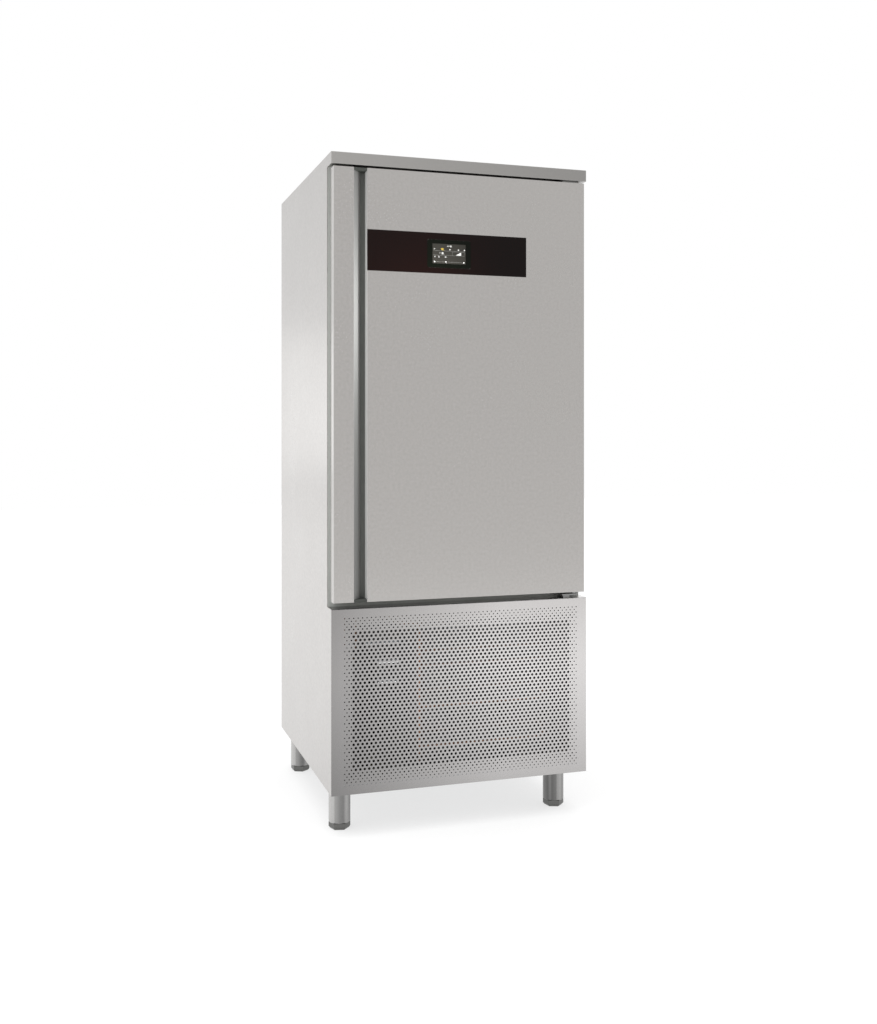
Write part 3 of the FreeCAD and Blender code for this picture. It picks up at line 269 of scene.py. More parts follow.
def add_turned(shape, centre, profile, sides=48, axis="Z", turn=0.0, closed=False):
    """Adds a turned solid from (radius, distance along its axis) pairs; a closed one has a bore."""
    rings = [ring_of(shape, centre, radius, along, sides, axis, turn) for radius, along in profile]
    join_rings(shape, rings, closed)


def soften(shape, width, segments, chosen):
    """Rounds the edges that the test picks by their two ends."""
    edges = [edge for edge in shape.edges if chosen(edge.verts[0].co, edge.verts[1].co)]
    bmesh.ops.bevel(
        shape, geom=edges, offset=width, segments=segments, profile=0.5, affect="EDGES", clamp_overlap=True
    )


def tube_with_painted_reflections(name, bands):
    """Bright drawn tube with painted reflections: light and dark stripes, one for each direction that the wall faces,
    are painted into its colour.
    """
    material = sheet_metal(name, (0.30, 0.297, 0.293), 0.15, (1, 1, 0.05), tone=0.04)
    tree = material.node_tree
    shader = tree.nodes["Principled BSDF"]
    # Painted reflection: the colour is multiplied by light and dark stripes chosen by the way each face points.
    facing = tree.nodes.new("ShaderNodeTexCoord")
    around = ranged(tree, part_of(tree, facing.outputs["Normal"], "X"), -1, 1)
    banded = tree.nodes.new("ShaderNodeValToRGB")
    ramp = banded.color_ramp
    ramp.interpolation = "EASE"
    while len(ramp.elements) < len(bands):
        ramp.elements.new(0.5)
    for stop, (place, tone) in zip(ramp.elements, bands):
        stop.position = (place + 1) / 2
        stop.color = (tone, tone, tone, 1)
    tree.links.new(around, banded.inputs["Fac"])
    shaded = tree.nodes.new("ShaderNodeMix")
    shaded.data_type = "RGBA"
    shaded.blend_type = "MULTIPLY"
    shaded.inputs["Factor"].default_value = 1
    plain = shader.inputs["Base Color"].links[0].from_socket
    tree.links.new(plain, shaded.inputs["A"])
    tree.links.new(banded.outputs["Color"], shaded.inputs["B"])
    tree.links.new(scaled(tree, shaded.outputs["Result"], 2.0), shader.inputs["Base Color"])
    return material


# Two copies with different painted reflections: the left legs are painted light on their left side, and the right
# legs dark there, where they face under the cabinet.
left_legs_painted_reflections = tube_with_painted_reflections("left_legs_painted_reflections", [
    (-1.0, 0.85), (-0.75, 0.78), (-0.55, 0.50), (-0.10, 0.36),
    (0.10, 0.34), (0.45, 0.62), (0.62, 0.62), (0.85, 0.33),
])
right_legs_painted_reflections = tube_with_painted_reflections("right_legs_painted_reflections", [
    (-0.98, 0.36), (-0.82, 0.26), (-0.66, 0.34), (-0.50, 0.23),
    (-0.20, 0.28), (0.05, 0.50), (0.30, 0.58), (0.70, 0.40),
])
foot_steel = sheet_metal("foot_steel", (0.155, 0.155, 0.15), 0.30, tone=0.05)
leg_radius, leg_bore = 0.032, 0.0124
leg_places = {
    "front_left": (-0.348, -0.298),
    "front_right": (0.3305, -0.298),
    "rear_left": (-0.348, 0.298),
    "rear_right": (0.3305, 0.298),
}
legs = bmesh.new()
tube = [(leg_bore, 0.118), (leg_bore, 0.020), (leg_radius - 0.0012, 0.020), (leg_radius, 0.0214), (leg_radius, 0.125)]
for x, y in leg_places.values():
    add_turned(legs, (x, y, 0), tube, 72)
tubes = piece_from(legs, "legs", left_legs_painted_reflections, "cabinet", ["leg_tubes"])
tubes.data.materials.append(right_legs_painted_reflections)
# The left legs take the first painted reflection and the right legs the second.
for polygon in tubes.data.polygons:
    polygon.material_index = int(polygon.center.x > 0)
foot_turns = {"front_left": -13, "front_right": -19, "rear_left": -24, "rear_right": 8}
hexagon = [(0.0272, 0.0), (0.0280, 0.0006), (0.0314, 0.0050), (0.0320, 0.0062), (0.0320, 0.0180), (0.0312, 0.019)]
for place, (x, y) in leg_places.items():
    foot = bmesh.new()
    add_turned(foot, (x, y, 0), hexagon, 6, turn=math.radians(foot_turns[place]))
    soften(foot, 0.0010, 2, lambda a, b: abs(a.z - b.z) > 0.002 and (a.xy - b.xy).length < 0.006)
    add_turned(foot, (x, y, 0), [(0.0118, 0.019), (0.0118, 0.115)], 24)
    piece_from(foot, f"levelling_foot_{place}", foot_steel, f"foot_{place}", [f"foot_{place}"])


# ---- Compressor, receiver and copper pipes ----
# A hermetic compressor on rubber bushes feeds the condenser at the front. The liquid comes back
# through a receiver, a drier and a valve, and the brazed copper pipes rise into the chamber.
def eased(points, cut, steps=5):
    """A line of points with each of its inner corners rounded off."""
    points = [Vector(point) for point in points]
    line = [points[0]]
    for before, corner, after in zip(points, points[1:], points[2:]):
        reach = min(cut, (before - corner).length / 2, (after - corner).length / 2)
        start = corner + (before - corner).normalized() * reach
        end = corner + (after - corner).normalized() * reach
        for step in range(steps + 1):
            share = step / steps
            line.append(start * (1 - share) ** 2 + corner * 2 * share * (1 - share) + end * share ** 2)
    line.append(points[-1])
    return line


def add_tube(shape, line, radius, sides=14, closed=False):
    """Adds a round tube whose middle follows a line of points."""
    count = len(line)
    rings = []
    across = None
    for place, point in enumerate(line):
        before = line[place - 1] if place or closed else point
        after = line[(place + 1) % count] if place + 1 < count or closed else point
        along = (after - before).normalized()
        if across is None:
            across = along.orthogonal().normalized()
        across = (across - along * across.dot(along)).normalized()
        other = along.cross(across)
        ring = []
        for side in range(sides):
            angle = 2 * math.pi * side / sides
            ring.append(shape.verts.new(point + (across * math.cos(angle) + other * math.sin(angle)) * radius))
        rings.append(ring)
    join_rings(shape, rings, closed)


def add_box(shape, x, y, z):
    """Adds a block from three (low, high) pairs."""
    made = bmesh.ops.create_cube(shape, size=1.0)
    for vertex in made["verts"]:
        picked = [pair[0] if place < 0 else pair[1] for pair, place in zip((x, y, z), vertex.co)]
        vertex.co = Vector(picked)


def add_shape(shape, other):
    """Adds a finished bmesh to another one."""
    made = bpy.data.meshes.new("added")
    other.to_mesh(made)
    other.free()
    shape.from_mesh(made)
    bpy.data.meshes.remove(made)


def add_soft_box(shape, x, y, z, width, segments=2):
    """Adds a block with all its edges rounded."""
    block = bmesh.new()
    add_box(block, x, y, z)
    soften(block, width, segments, lambda a, b: True)
    add_shape(shape, block)


def plain_finish(name, colour, roughness, metallic=0.0, coat=0.0, speckle=0.08, scale=300, bump=0.0):
    """A moulded, cast or painted surface with a faint mottle."""
    material, tree, shader, polish = polished(name, metallic)
    shader.inputs["Coat Weight"].default_value = coat
    polish.inputs["Speckle Scale"].default_value = scale
    tree.links.new(two_tones(tree, polish.outputs["Speckle"], colour, speckle), shader.inputs["Base Color"])
    gloss = remap(tree, polish.outputs["Patches"], roughness - 0.04, roughness + 0.04)
    tree.links.new(gloss, shader.inputs["Roughness"])
    relieve(tree, polish, shader, bump, 0.0006)
    return material


black_enamel = plain_finish("black_enamel", (0.022, 0.022, 0.024), 0.35, coat=0.3)
dark_rubber = plain_finish("dark_rubber", (0.035, 0.035, 0.036), 0.7, bump=0.1)
compressor = bmesh.new()
shell = [(0.055, 0.183), (0.082, 0.197), (0.095, 0.228), (0.095, 0.290), (0.098, 0.292), (0.098, 0.297)]
shell += [(0.095, 0.299), (0.095, 0.368), (0.080, 0.401), (0.042, 0.423)]
add_turned(compressor, (-0.200, 0.190, 0), eased(shell, 0.010, 4), 64)
add_soft_box(compressor, (-0.235, -0.165), (0.067, 0.110), (0.269, 0.339), 0.006, 3)
add_soft_box(compressor, (-0.310, -0.090), (0.100, 0.280), (0.179, 0.185), 0.002)
piece_from(compressor, "compressor_shell", black_enamel, "cabinet", ["compressor"])
bushes = bmesh.new()
waist = eased([(0.015, 0.157), (0.015, 0.162), (0.010, 0.168), (0.015, 0.174), (0.015, 0.179)], 0.003, 3)
for x in (-0.285, -0.115):
    for y in (0.125, 0.255):
        add_turned(bushes, (x, y, 0), waist, 32)
piece_from(bushes, "rubber_bushes", dark_rubber, "cabinet", ["compressor_mounts"])
receiver = bmesh.new()
tank = [(0.032, 0.157), (0.032, 0.173), (0.050, 0.183), (0.050, 0.377), (0.036, 0.399), (0.014, 0.407)]
add_turned(receiver, (0.060, 0.210, 0), eased(tank, 0.010, 4), 48)
piece_from(receiver, "receiver_tank", black_enamel, "cabinet", ["liquid_receiver"])

brass = plain_finish("brass", (0.62, 0.47, 0.22), 0.3, metallic=1.0)
drier = bmesh.new()
cartridge = [(0.0075, -0.060), (0.0085, -0.056), (0.020, -0.045), (0.020, 0.045), (0.0085, 0.056), (0.0075, 0.060)]
add_turned(drier, (0.060, 0.085, 0.277), eased(cartridge, 0.005, 3), 32, "Y")
piece_from(drier, "drier_cartridge", brass, "cabinet", ["filter_drier"])
valve = bmesh.new()
add_turned(valve, (0.060, -0.020, 0), [(0.009, 0.430), (0.015, 0.440), (0.015, 0.470), (0.009, 0.480)], 6)
head = [(0.008, 0.014), (0.008, 0.024), (0.022, 0.026), (0.022, 0.034), (0.012, 0.038)]
add_turned(valve, (0.060, -0.020, 0.455), eased(head, 0.0015, 3), 32, "X")
piece_from(valve, "valve_body", brass, "cabinet", ["expansion_valve"])

copper = plain_finish("copper_tube", (0.62, 0.33, 0.21), 0.32, metallic=1.0, speckle=0.12, scale=120)
pipe_runs = {
    "discharge_pipe": [
        [(-0.180, 0.190, 0.423), (-0.180, 0.190, 0.590), (-0.180, -0.304, 0.590), (-0.107, -0.304, 0.590),
         (-0.107, -0.304, 0.537)],
    ],
    "suction_pipe": [
        [(-0.290, 0.3065, 0.775), (-0.290, 0.3065, 0.560), (-0.220, 0.3065, 0.560), (-0.220, 0.190, 0.560),
         (-0.220, 0.190, 0.423)],
    ],
    "liquid_pipes": [
        [(-0.107, -0.276, 0.537), (-0.107, -0.276, 0.575), (-0.107, 0.210, 0.575), (0.060, 0.210, 0.575),
         (0.060, 0.210, 0.407)],
        [(0.060, 0.025, 0.277), (0.060, -0.020, 0.277), (0.060, -0.020, 0.430)],
        [(0.060, -0.020, 0.480), (0.060, -0.020, 0.620), (-0.290, -0.020, 0.620), (-0.290, 0.2785, 0.620),
         (-0.290, 0.2785, 0.775)],
        [(0.060, 0.145, 0.277), (0.060, 0.161, 0.277)],
    ],
}
for name, runs in pipe_runs.items():
    pipes = bmesh.new()
    for corners in runs:
        add_tube(pipes, eased(corners, 0.030, 6), 0.0068)
    piece_from(pipes, f"copper_{name}", copper, "cabinet", [name])

# ---- Condenser and evaporator ----
# Copper hairpins pressed through packs of aluminium fins, fed from two upright headers. The
# condenser stands behind the perforated front and the evaporator at the back of the chamber.
fin_aluminium = plain_finish("fin_aluminium", (0.60, 0.61, 0.62), 0.38, metallic=1.0)
coils = {
    "condenser_coil": ((-0.107, 0.295), (-0.304, -0.276), [0.217, 0.337, 0.457], 0.040),
    "evaporator_coil": ((-0.290, 0.280), (0.2785, 0.3065), [0.845, 1.095, 1.345, 1.595], 0.070),
}
for name, (ends, depths, levels, rise) in coils.items():
    coil = bmesh.new()
    for z in levels:
        hairpin = [(ends[0], depths[0], z), (ends[1], depths[0], z), (ends[1], depths[1], z + rise)]
        hairpin.append((ends[0], depths[1], z + rise))
        add_tube(coil, eased(hairpin, 0.018, 5), 0.0058)
    for y in depths:
        header = [(0.0085, levels[0] - rise), (0.0085, levels[-1] + 2 * rise)]
        add_turned(coil, (ends[0], y, 0), header, 20)
    piece_from(coil, f"{name}_tubes", copper, "cabinet", [name])
finish_nodes(fin_aluminium, "evaporator_fins", "condenser_fins")


# ---- Fans with their guards and motors ----
# Moulded axial rotors on the shafts of round motors. Three draw air through the chamber's
# baffle, behind wire guards, and one draws air through the condenser's shroud.
def add_blade(shape, middle, radius, hub, turn):
    """Adds one cambered, twisted blade, thick at its root and rounded at its tip."""
    spans, chords = 9, 8
    sheets = []
    for face in (1, -1):
        rows = []
        for span in range(spans + 1):
            share = span / spans
            out = hub - 0.003 + (0.98 * radius - hub + 0.003) * share
            width = radius * (0.13 + 0.17 * math.sin(min(1.0, share * 1.25) * math.pi / 2))
            width *= math.sqrt(max(0.06, 1 - max(0.0, (share - 0.72) / 0.28) ** 2.2))
            pitch = math.radians(38 - 12 * share)
            row = []
            for chord in range(chords + 1):
                across = 2 * chord / chords - 1
                camber = 0.06 * radius * (1 - across ** 2)
                thick = 0.0015 * (1 - 0.75 * across ** 2) * (1 - 0.35 * share)
                flat = Vector((width * across, camber - 0.02 * radius + face * thick, 0))
                turned = Matrix.Rotation(pitch, 3, "Z") @ flat
                point = Matrix.Rotation(turn, 3, "Y") @ Vector((turned.x, turned.y, out))
                row.append(shape.verts.new(point + Vector(middle)))
            rows.append(row)
        sheets.append(rows)
    front, back = sheets
    for span in range(spans):
        for chord in range(chords):
            for rows in sheets:
                near, far = rows[span], rows[span + 1]
                shape.faces.new((near[chord], near[chord + 1], far[chord + 1], far[chord]))
        for chord in (0, chords):
            shape.faces.new((front[span][chord], front[span + 1][chord], back[span + 1][chord], back[span][chord]))
    for chord in range(chords):
        for span in (0, spans):
            shape.faces.new((front[span][chord], front[span][chord + 1], back[span][chord + 1], back[span][chord]))


def rotor(centre, radius, name):
    """A hub with a domed nose, five blades and the shaft that runs back into the motor."""
    shape = bmesh.new()
    x, y, z = centre
    hub = 0.28 * radius
    nose = [(hub * 0.45, 0.0), (hub * 0.9, 0.003), (hub, 0.010), (hub, 0.044)]
    add_turned(shape, (x, y, z), eased(nose, 0.004, 4), 48, "Y")
    add_turned(shape, (x, y, z), [(0.0058, 0.044), (0.0058, 0.068)], 20, "Y")
    for place in range(5):
        add_blade(shape, (x, y + 0.022, z), radius, hub, 2 * math.pi * place / 5)
    piece_from(shape, f"{name}_blades", rotor_plastic, name, [name])


def add_motor(shape, centre, span, carrier):
    """Adds a round motor, open at its face for the shaft, on a bar with two feet."""
    x, y, z = centre
    face = y + 0.050
    drum = [(0.0066, 0.022), (0.0066, 0.0), (0.039, 0.0), (0.042, 0.003), (0.042, 0.050), (0.034, 0.058)]
    add_turned(shape, (x, face, z), drum, 48, "Y")
    for side in (-1, 1):
        inner = sorted((x + side * 0.0405, x + side * span))
        add_soft_box(shape, inner, (face, face + 0.003), (z - 0.012, z + 0.012), 0.0008, 1)
        outer = sorted((x + side * span, x + side * (span - 0.003)))
        add_soft_box(shape, outer, (carrier, face + 0.003), (z - 0.012, z + 0.012), 0.0008, 1)


rotor_plastic = plain_finish("rotor_plastic", (0.030, 0.030, 0.032), 0.45, bump=0.05)
fan_heights = {"lower": 0.930, "middle": 1.290, "upper": 1.650}
fan_y, fan_radius = 0.120, 0.120
condenser_fan, condenser_fan_radius = (0.090, -0.226, 0.357), 0.140
for name, z in fan_heights.items():
    rotor((0, fan_y, z), fan_radius, f"fan_rotor_{name}")
rotor(condenser_fan, condenser_fan_radius, "condenser_fan_rotor")
motors = bmesh.new()
for z in fan_heights.values():
    add_motor(motors, (0, fan_y, z), 0.140, 0.1115)
piece_from(motors, "chamber_motors", black_enamel, "cabinet", ["fan_motors"])
motor = bmesh.new()
add_motor(motor, condenser_fan, 0.160, -0.220)
piece_from(motor, "condenser_fan_motor", black_enamel, "cabinet", ["condenser_motor"])

chamber_steel = sheet_metal("chamber_steel", (0.56, 0.56, 0.555), 0.26, (1, 1, 0.06), tone=0.04)
guards = bmesh.new()
guard_steps = 56
for z in fan_heights.values():
    for radius in (0.1335, 0.0985, 0.0635):
        circle = []
        for step in range(guard_steps):
            angle = 2 * math.pi * step / guard_steps
            circle.append(Vector((radius * math.cos(angle), 0.1078, z + radius * math.sin(angle))))
        add_tube(guards, circle, 0.0020, 8, closed=True)
    for spoke in range(4):
        way = Vector((math.cos(spoke * math.pi / 4), 0, math.sin(spoke * math.pi / 4)))
        middle = Vector((0, 0.1062, z))
        add_tube(guards, [middle - way * 0.1345, middle + way * 0.1345], 0.0016, 8)
piece_from(guards, "wire_guards", chamber_steel, "cabinet", ["fan_guards"])


# ---- Condenser shroud and chamber baffle ----
# Two folded sheets that make the fans draw only through the coils, galvanised below and
# stainless in the chamber. Each mouth has a rolled rim.
def bent_sheet(path, thickness, bend, steps=4):
    """Pairs of points on the two faces of a sheet that is folded along a path; its body lies to the left."""
    path = [Vector(point) for point in path]
    left = [Vector((a.y - b.y, b.x - a.x)).normalized() for a, b in zip(path, path[1:])]
    pairs = [(path[0], path[0] + left[0] * thickness)]
    for place, corner in enumerate(path[1:-1]):
        before, after = left[place], left[place + 1]
        cross = before.x * after.y - before.y * after.x
        outer = bend + thickness if cross > 0 else -bend
        inner = outer - thickness
        middle = corner + (before + after) * (outer / (1 + before.dot(after)))
        turn = math.atan2(cross, before.dot(after))
        for step in range(steps + 1):
            way = Matrix.Rotation(turn * step / steps, 2) @ before
            pairs.append((middle - way * outer, middle - way * inner))
    pairs.append((path[-1], path[-1] + left[-1] * thickness))
    return pairs


def add_bent_sheet(shape, pairs, low, high, place=lambda a, b, along: (a, b, along)):
    """Adds a folded sheet that runs from low to high along its folds."""
    rows = []
    for along in (low, high):
        for face in (0, 1):
            rows.append([shape.verts.new(place(pair[face].x, pair[face].y, along)) for pair in pairs])
    low_outer, low_inner, high_outer, high_inner = rows
    sides = ((low_outer, high_outer), (low_inner, high_inner), (low_outer, low_inner), (high_outer, high_inner))
    for step in range(len(pairs) - 1):
        for a, b in sides:
            shape.faces.new((a[step], a[step + 1], b[step + 1], b[step]))
    for end in (0, -1):
        shape.faces.new((low_outer[end], low_inner[end], high_inner[end], high_outer[end]))


def carved(shape, cutter):
    """A bmesh with another one cut out of it."""
    holders = []
    for label, source in (("kept", shape), ("cut", cutter)):
        bmesh.ops.recalc_face_normals(source, faces=source.faces)
        mesh = bpy.data.meshes.new(label)
        source.to_mesh(mesh)
        source.free()
        holder = bpy.data.objects.new(label, mesh)
        bpy.context.scene.collection.objects.link(holder)
        holders.append(holder)
    kept, cut = holders
    difference = kept.modifiers.new("cut_away", "BOOLEAN")
    difference.operation = "DIFFERENCE"
    difference.solver = "EXACT"
    difference.object = cut
    result = bpy.data.meshes.new_from_object(kept.evaluated_get(bpy.context.evaluated_depsgraph_get()))
    made = bmesh.new()
    made.from_mesh(result)
    for holder in holders:
        mesh = holder.data
        bpy.data.objects.remove(holder)
        bpy.data.meshes.remove(mesh)
    bpy.data.meshes.remove(result)
    return made


sheet_thickness = 0.0015


def folded_with_mouths(path, low, high, x, y, heights, radius):
    """A folded sheet with round mouths in its middle face, each with a rolled rim."""
    sheet = bmesh.new()
    add_bent_sheet(sheet, bent_sheet(path, sheet_thickness, 0.0015), low, high)
    mouths = bmesh.new()
    for z in heights:
        add_turned(mouths, (x, 0, z), [(radius, y - 0.006), (radius, y + 0.006)], 72, "Y")
    sheet = carved(sheet, mouths)
    for z in heights:
        rim = [(radius - 0.0012, y - 0.0005), (radius - 0.0004, y + 0.0045), (radius + 0.0004, y + 0.0045)]
        rim.append((radius + 0.0004, y - 0.0005))
        add_turned(sheet, (x, 0, z), rim, 72, "Y", closed=True)
    return sheet


baffle = folded_with_mouths(
    [(-0.295, 0.170), (-0.295, 0.110), (0.295, 0.110), (0.295, 0.170)],
    0.7165, 1.8635, 0, 0.1115, fan_heights.values(), 0.128,
)
piece_from(baffle, "chamber_baffle", chamber_steel, "cabinet", ["fan_baffle"])
shroud = folded_with_mouths(
    [(0.305, -0.330), (0.305, -0.220), (-0.125, -0.220), (-0.125, -0.330)],
    0.157, 0.557, 0.090, -0.2215, [0.357], 0.148,
)
piece_from(shroud, "fan_shroud", galvanised, "cabinet", ["condenser_shroud"])

# ---- Electrical box ----
# A powder-coated box that hangs under the cell at the back, closed by a lid with an
# overhanging edge and four screws.
grey_paint = plain_finish("grey_powder_coat", (0.42, 0.43, 0.44), 0.55, bump=0.15)
box = bmesh.new()
add_soft_box(box, (0.170, 0.370), (0.120, 0.330), (0.505, 0.657), 0.003)
add_soft_box(box, (0.165, 0.375), (0.112, 0.120), (0.500, 0.657), 0.003)
lid_screw = eased([(0.0025, 0.1105), (0.0040, 0.1108), (0.0040, 0.1125)], 0.0008, 3)
for x in (0.177, 0.363):
    for z in (0.512, 0.645):
        add_turned(box, (x, 0, z), lid_screw, 20, "Y")
piece_from(box, "wiring_box", grey_paint, "cabinet", ["electrical_box"])

# ---- Insulated cell, chamber and tray rack ----
# A radiused stainless chamber set in rigid foam, with a dark frame round its mouth for the door
# to seal on. Angle runners on uprights carry the trays, and the floor drains through a pipe.
foam = plain_finish("rigid_foam", (0.72, 0.64, 0.42), 0.85, speckle=0.15, scale=700, bump=0.4)
surround_plastic = plain_finish("surround_plastic", (0.340, 0.350, 0.332), 0.5, bump=0.08)
dark_plastic = plain_finish("dark_plastic", (0.040, 0.040, 0.042), 0.5, bump=0.1)
finish_nodes(foam, "insulation_shell", "door_foam")
finish_nodes(chamber_steel, "chamber_liner", "rack_posts", "tray_runners", "evaporator_tray", "chamber_drain")
finish_nodes(surround_plastic, "door_surround")
finish_nodes(dark_plastic, "door_sensor", "door_magnet", "hinge_bushes", "control_housing")

# ---- Side panels, roof and band over the door ----
# Satin stainless sheet, 1.5 mm thick. The sides are cut back along the door and folded round at
# the rear, and the band over the door folds under to meet the cell.
half_width, inner = 0.395, 0.3935
cell_front = -0.344
# Painted shade: the side panels are painted darker towards their top and towards their bottom than at their middle
# height.
panel_steel = sheet_metal(
    "panel_steel", (0.605, 0.588, 0.573), 0.30, (1, 1, 0.3), tone=0.085,
    painted_light_ramps=[("Z", 1.20, 1.95, 1.0, 0.82), ("Z", 0.125, 0.80, 0.89, 1.0)],
)
# Painted shade: the band over the door is painted darker from its left end to its right end.
lintel_steel = sheet_metal(
    "lintel_steel", (0.50, 0.49, 0.475), 0.32, (0.3, 1, 1), tone=0.022,
    painted_light_ramps=[("X", -half_width, half_width, 1.04, 0.80)],
)
for side, name in ((1, "right"), (-1, "left")):
    path = [(side * half_width, -0.3985), (side * half_width, 0.400), (side * 0.380, 0.400)]
    pairs = bent_sheet(path if side > 0 else path[::-1], sheet_thickness, 0.0012)
    panel = bmesh.new()
    add_bent_sheet(panel, pairs, 0.125, 1.950)
    notch = bmesh.new()
    add_box(notch, sorted((side * 0.390, side * 0.400)), (-0.410, cell_front), (0.653, 1.916))
    panel = carved(panel, notch)
    piece_from(panel, f"{name}_side", panel_steel, "cabinet", [f"{name}_side_panel"])
lintel = bmesh.new()
add_box(lintel, (-half_width, half_width), (-0.400, -0.3985), (1.916, 1.950))
soften(lintel, 0.0013, 3, lambda a, b: max(a.y, b.y) < -0.3995)
add_box(lintel, (-inner, inner), (-0.3985, cell_front), (1.916, 1.9175))
piece_from(lintel, "door_band", lintel_steel, "cabinet", ["lintel"])
# The roof takes the side panels' material and lies at the top of its ramp, so it is painted darker as well.
finish_nodes(panel_steel, "roof_panel")


# ---- Back sheet ----
# A flat galvanised sheet that covers the foam behind the chamber. It lies inside the folds of
# the two sides and is held by pan-head screws along its edges.
def add_screws(shape, levels):
    """Adds pan-head screws up both sides of the back, and three more along its bottom and its top."""
    places = [(x, z) for x in (-0.370, 0.370) for z in levels]
    places += [(x, z) for x in (-0.185, 0.0, 0.185) for z in (levels[0], levels[-1])]
    screw = [(0.0012, 0.3902), (0.0020, 0.3902), (0.0020, 0.3920), (0.0034, 0.3917), (0.0046, 0.3895)]
    for x, z in places:
        add_turned(shape, (x, 0, z), screw, 24, "Y")


back = bmesh.new()
add_box(back, (-inner, inner), (0.388, 0.3895), (0.6572, 1.9485))
soften(back, 0.0008, 2, lambda a, b: min(a.y, b.y) > 0.3894)
add_screws(back, (0.672, 0.920, 1.170, 1.420, 1.670, 1.930))
piece_from(back, "back_sheet", galvanised, "cabinet", ["rear_panel"])

# ---- Louvred back of the compartment ----
# A galvanised sheet fixed with screws, with rows of pressed louvres that let the warm air out.
# The supply cable would enter at the gland near its left corner.
grille = bmesh.new()
add_box(grille, (-inner, inner), (0.388, 0.3895), (0.125, 0.657))
slots = bmesh.new()
vent_rows = [0.255 + 0.070 * row for row in range(5)]
vent_lefts = [-0.325, -0.095, 0.135]
vent_length = 0.190
gland_place = (-0.330, 0, 0.200)
for z in vent_rows:
    for x in vent_lefts:
        add_box(slots, (x, x + vent_length), (0.387, 0.391), (z, z + 0.012))
add_turned(slots, gland_place, [(0.0122, 0.386), (0.0122, 0.392)], 32, "Y")
grille = carved(grille, slots)
for z in vent_rows:
    for x in vent_lefts:
        hood = bent_sheet([(0.3893, z + 0.0150), (0.3950, z + 0.0085), (0.3978, z + 0.0005)], 0.0012, 0.004)
        add_bent_sheet(grille, hood, x - 0.001, x + 0.191, lambda a, b, along: (along, a, b))
        for end in (x - 0.001, x + vent_length):
            corners = [(0.3893, z + 0.0150), (0.3950, z + 0.0085), (0.3978, z + 0.0005), (0.3893, z - 0.0005)]
            sides = [[grille.verts.new((at, y, height)) for y, height in corners] for at in (end, end + 0.001)]
            join_rings(grille, sides)
add_screws(grille, (0.140, 0.265, 0.390, 0.515, 0.642))
piece_from(grille, "louvred_back", galvanised, "cabinet", ["rear_grille"])
gland = bmesh.new()
nut = [(0.0062, 0.382), (0.0158, 0.382), (0.0170, 0.3832), (0.0170, 0.388), (0.0118, 0.388), (0.0118, 0.3895)]
nut += [(0.0170, 0.3895), (0.0170, 0.3955), (0.0158, 0.3972), (0.0095, 0.399), (0.0062, 0.399)]
add_turned(gland, gland_place, nut, 6, "Y", closed=True)
piece_from(gland, "cable_nuts", dark_plastic, "cabinet", ["cable_gland"])

# ---- Perforated lower front ----
# One stainless sheet with staggered rows of punched holes, 7.6 mm in the field and stepping
# down to 4.8 and 3.6 mm at its edges. It is folded back along its top and sides.
panel_left, panel_right = -half_width, half_width
panel_low, panel_high = 0.125, 0.653
panel_front = -0.400
first_hole = -0.3563
hole_pitch = 0.013053
hole_columns = 56
row_heights = [0.6256, 0.6177, 0.6098, 0.6019, 0.5940]
row_heights += [0.5836 - 0.01024 * row for row in range(39)]
row_heights += [0.1844, 0.1761, 0.1678, 0.1598, 0.1518]


def hole_radius(row, column, columns):
    """Each hole's size from how near it lies to the edge of the field."""
    rows_in = min(row, len(row_heights) - 1 - row)
    columns_in = min(column, columns - 1 - column)
    if rows_in < 3 or columns_in < 1:
        return 0.0018
    if rows_in < 5 or columns_in < 2:
        return 0.0024
    return 0.0038


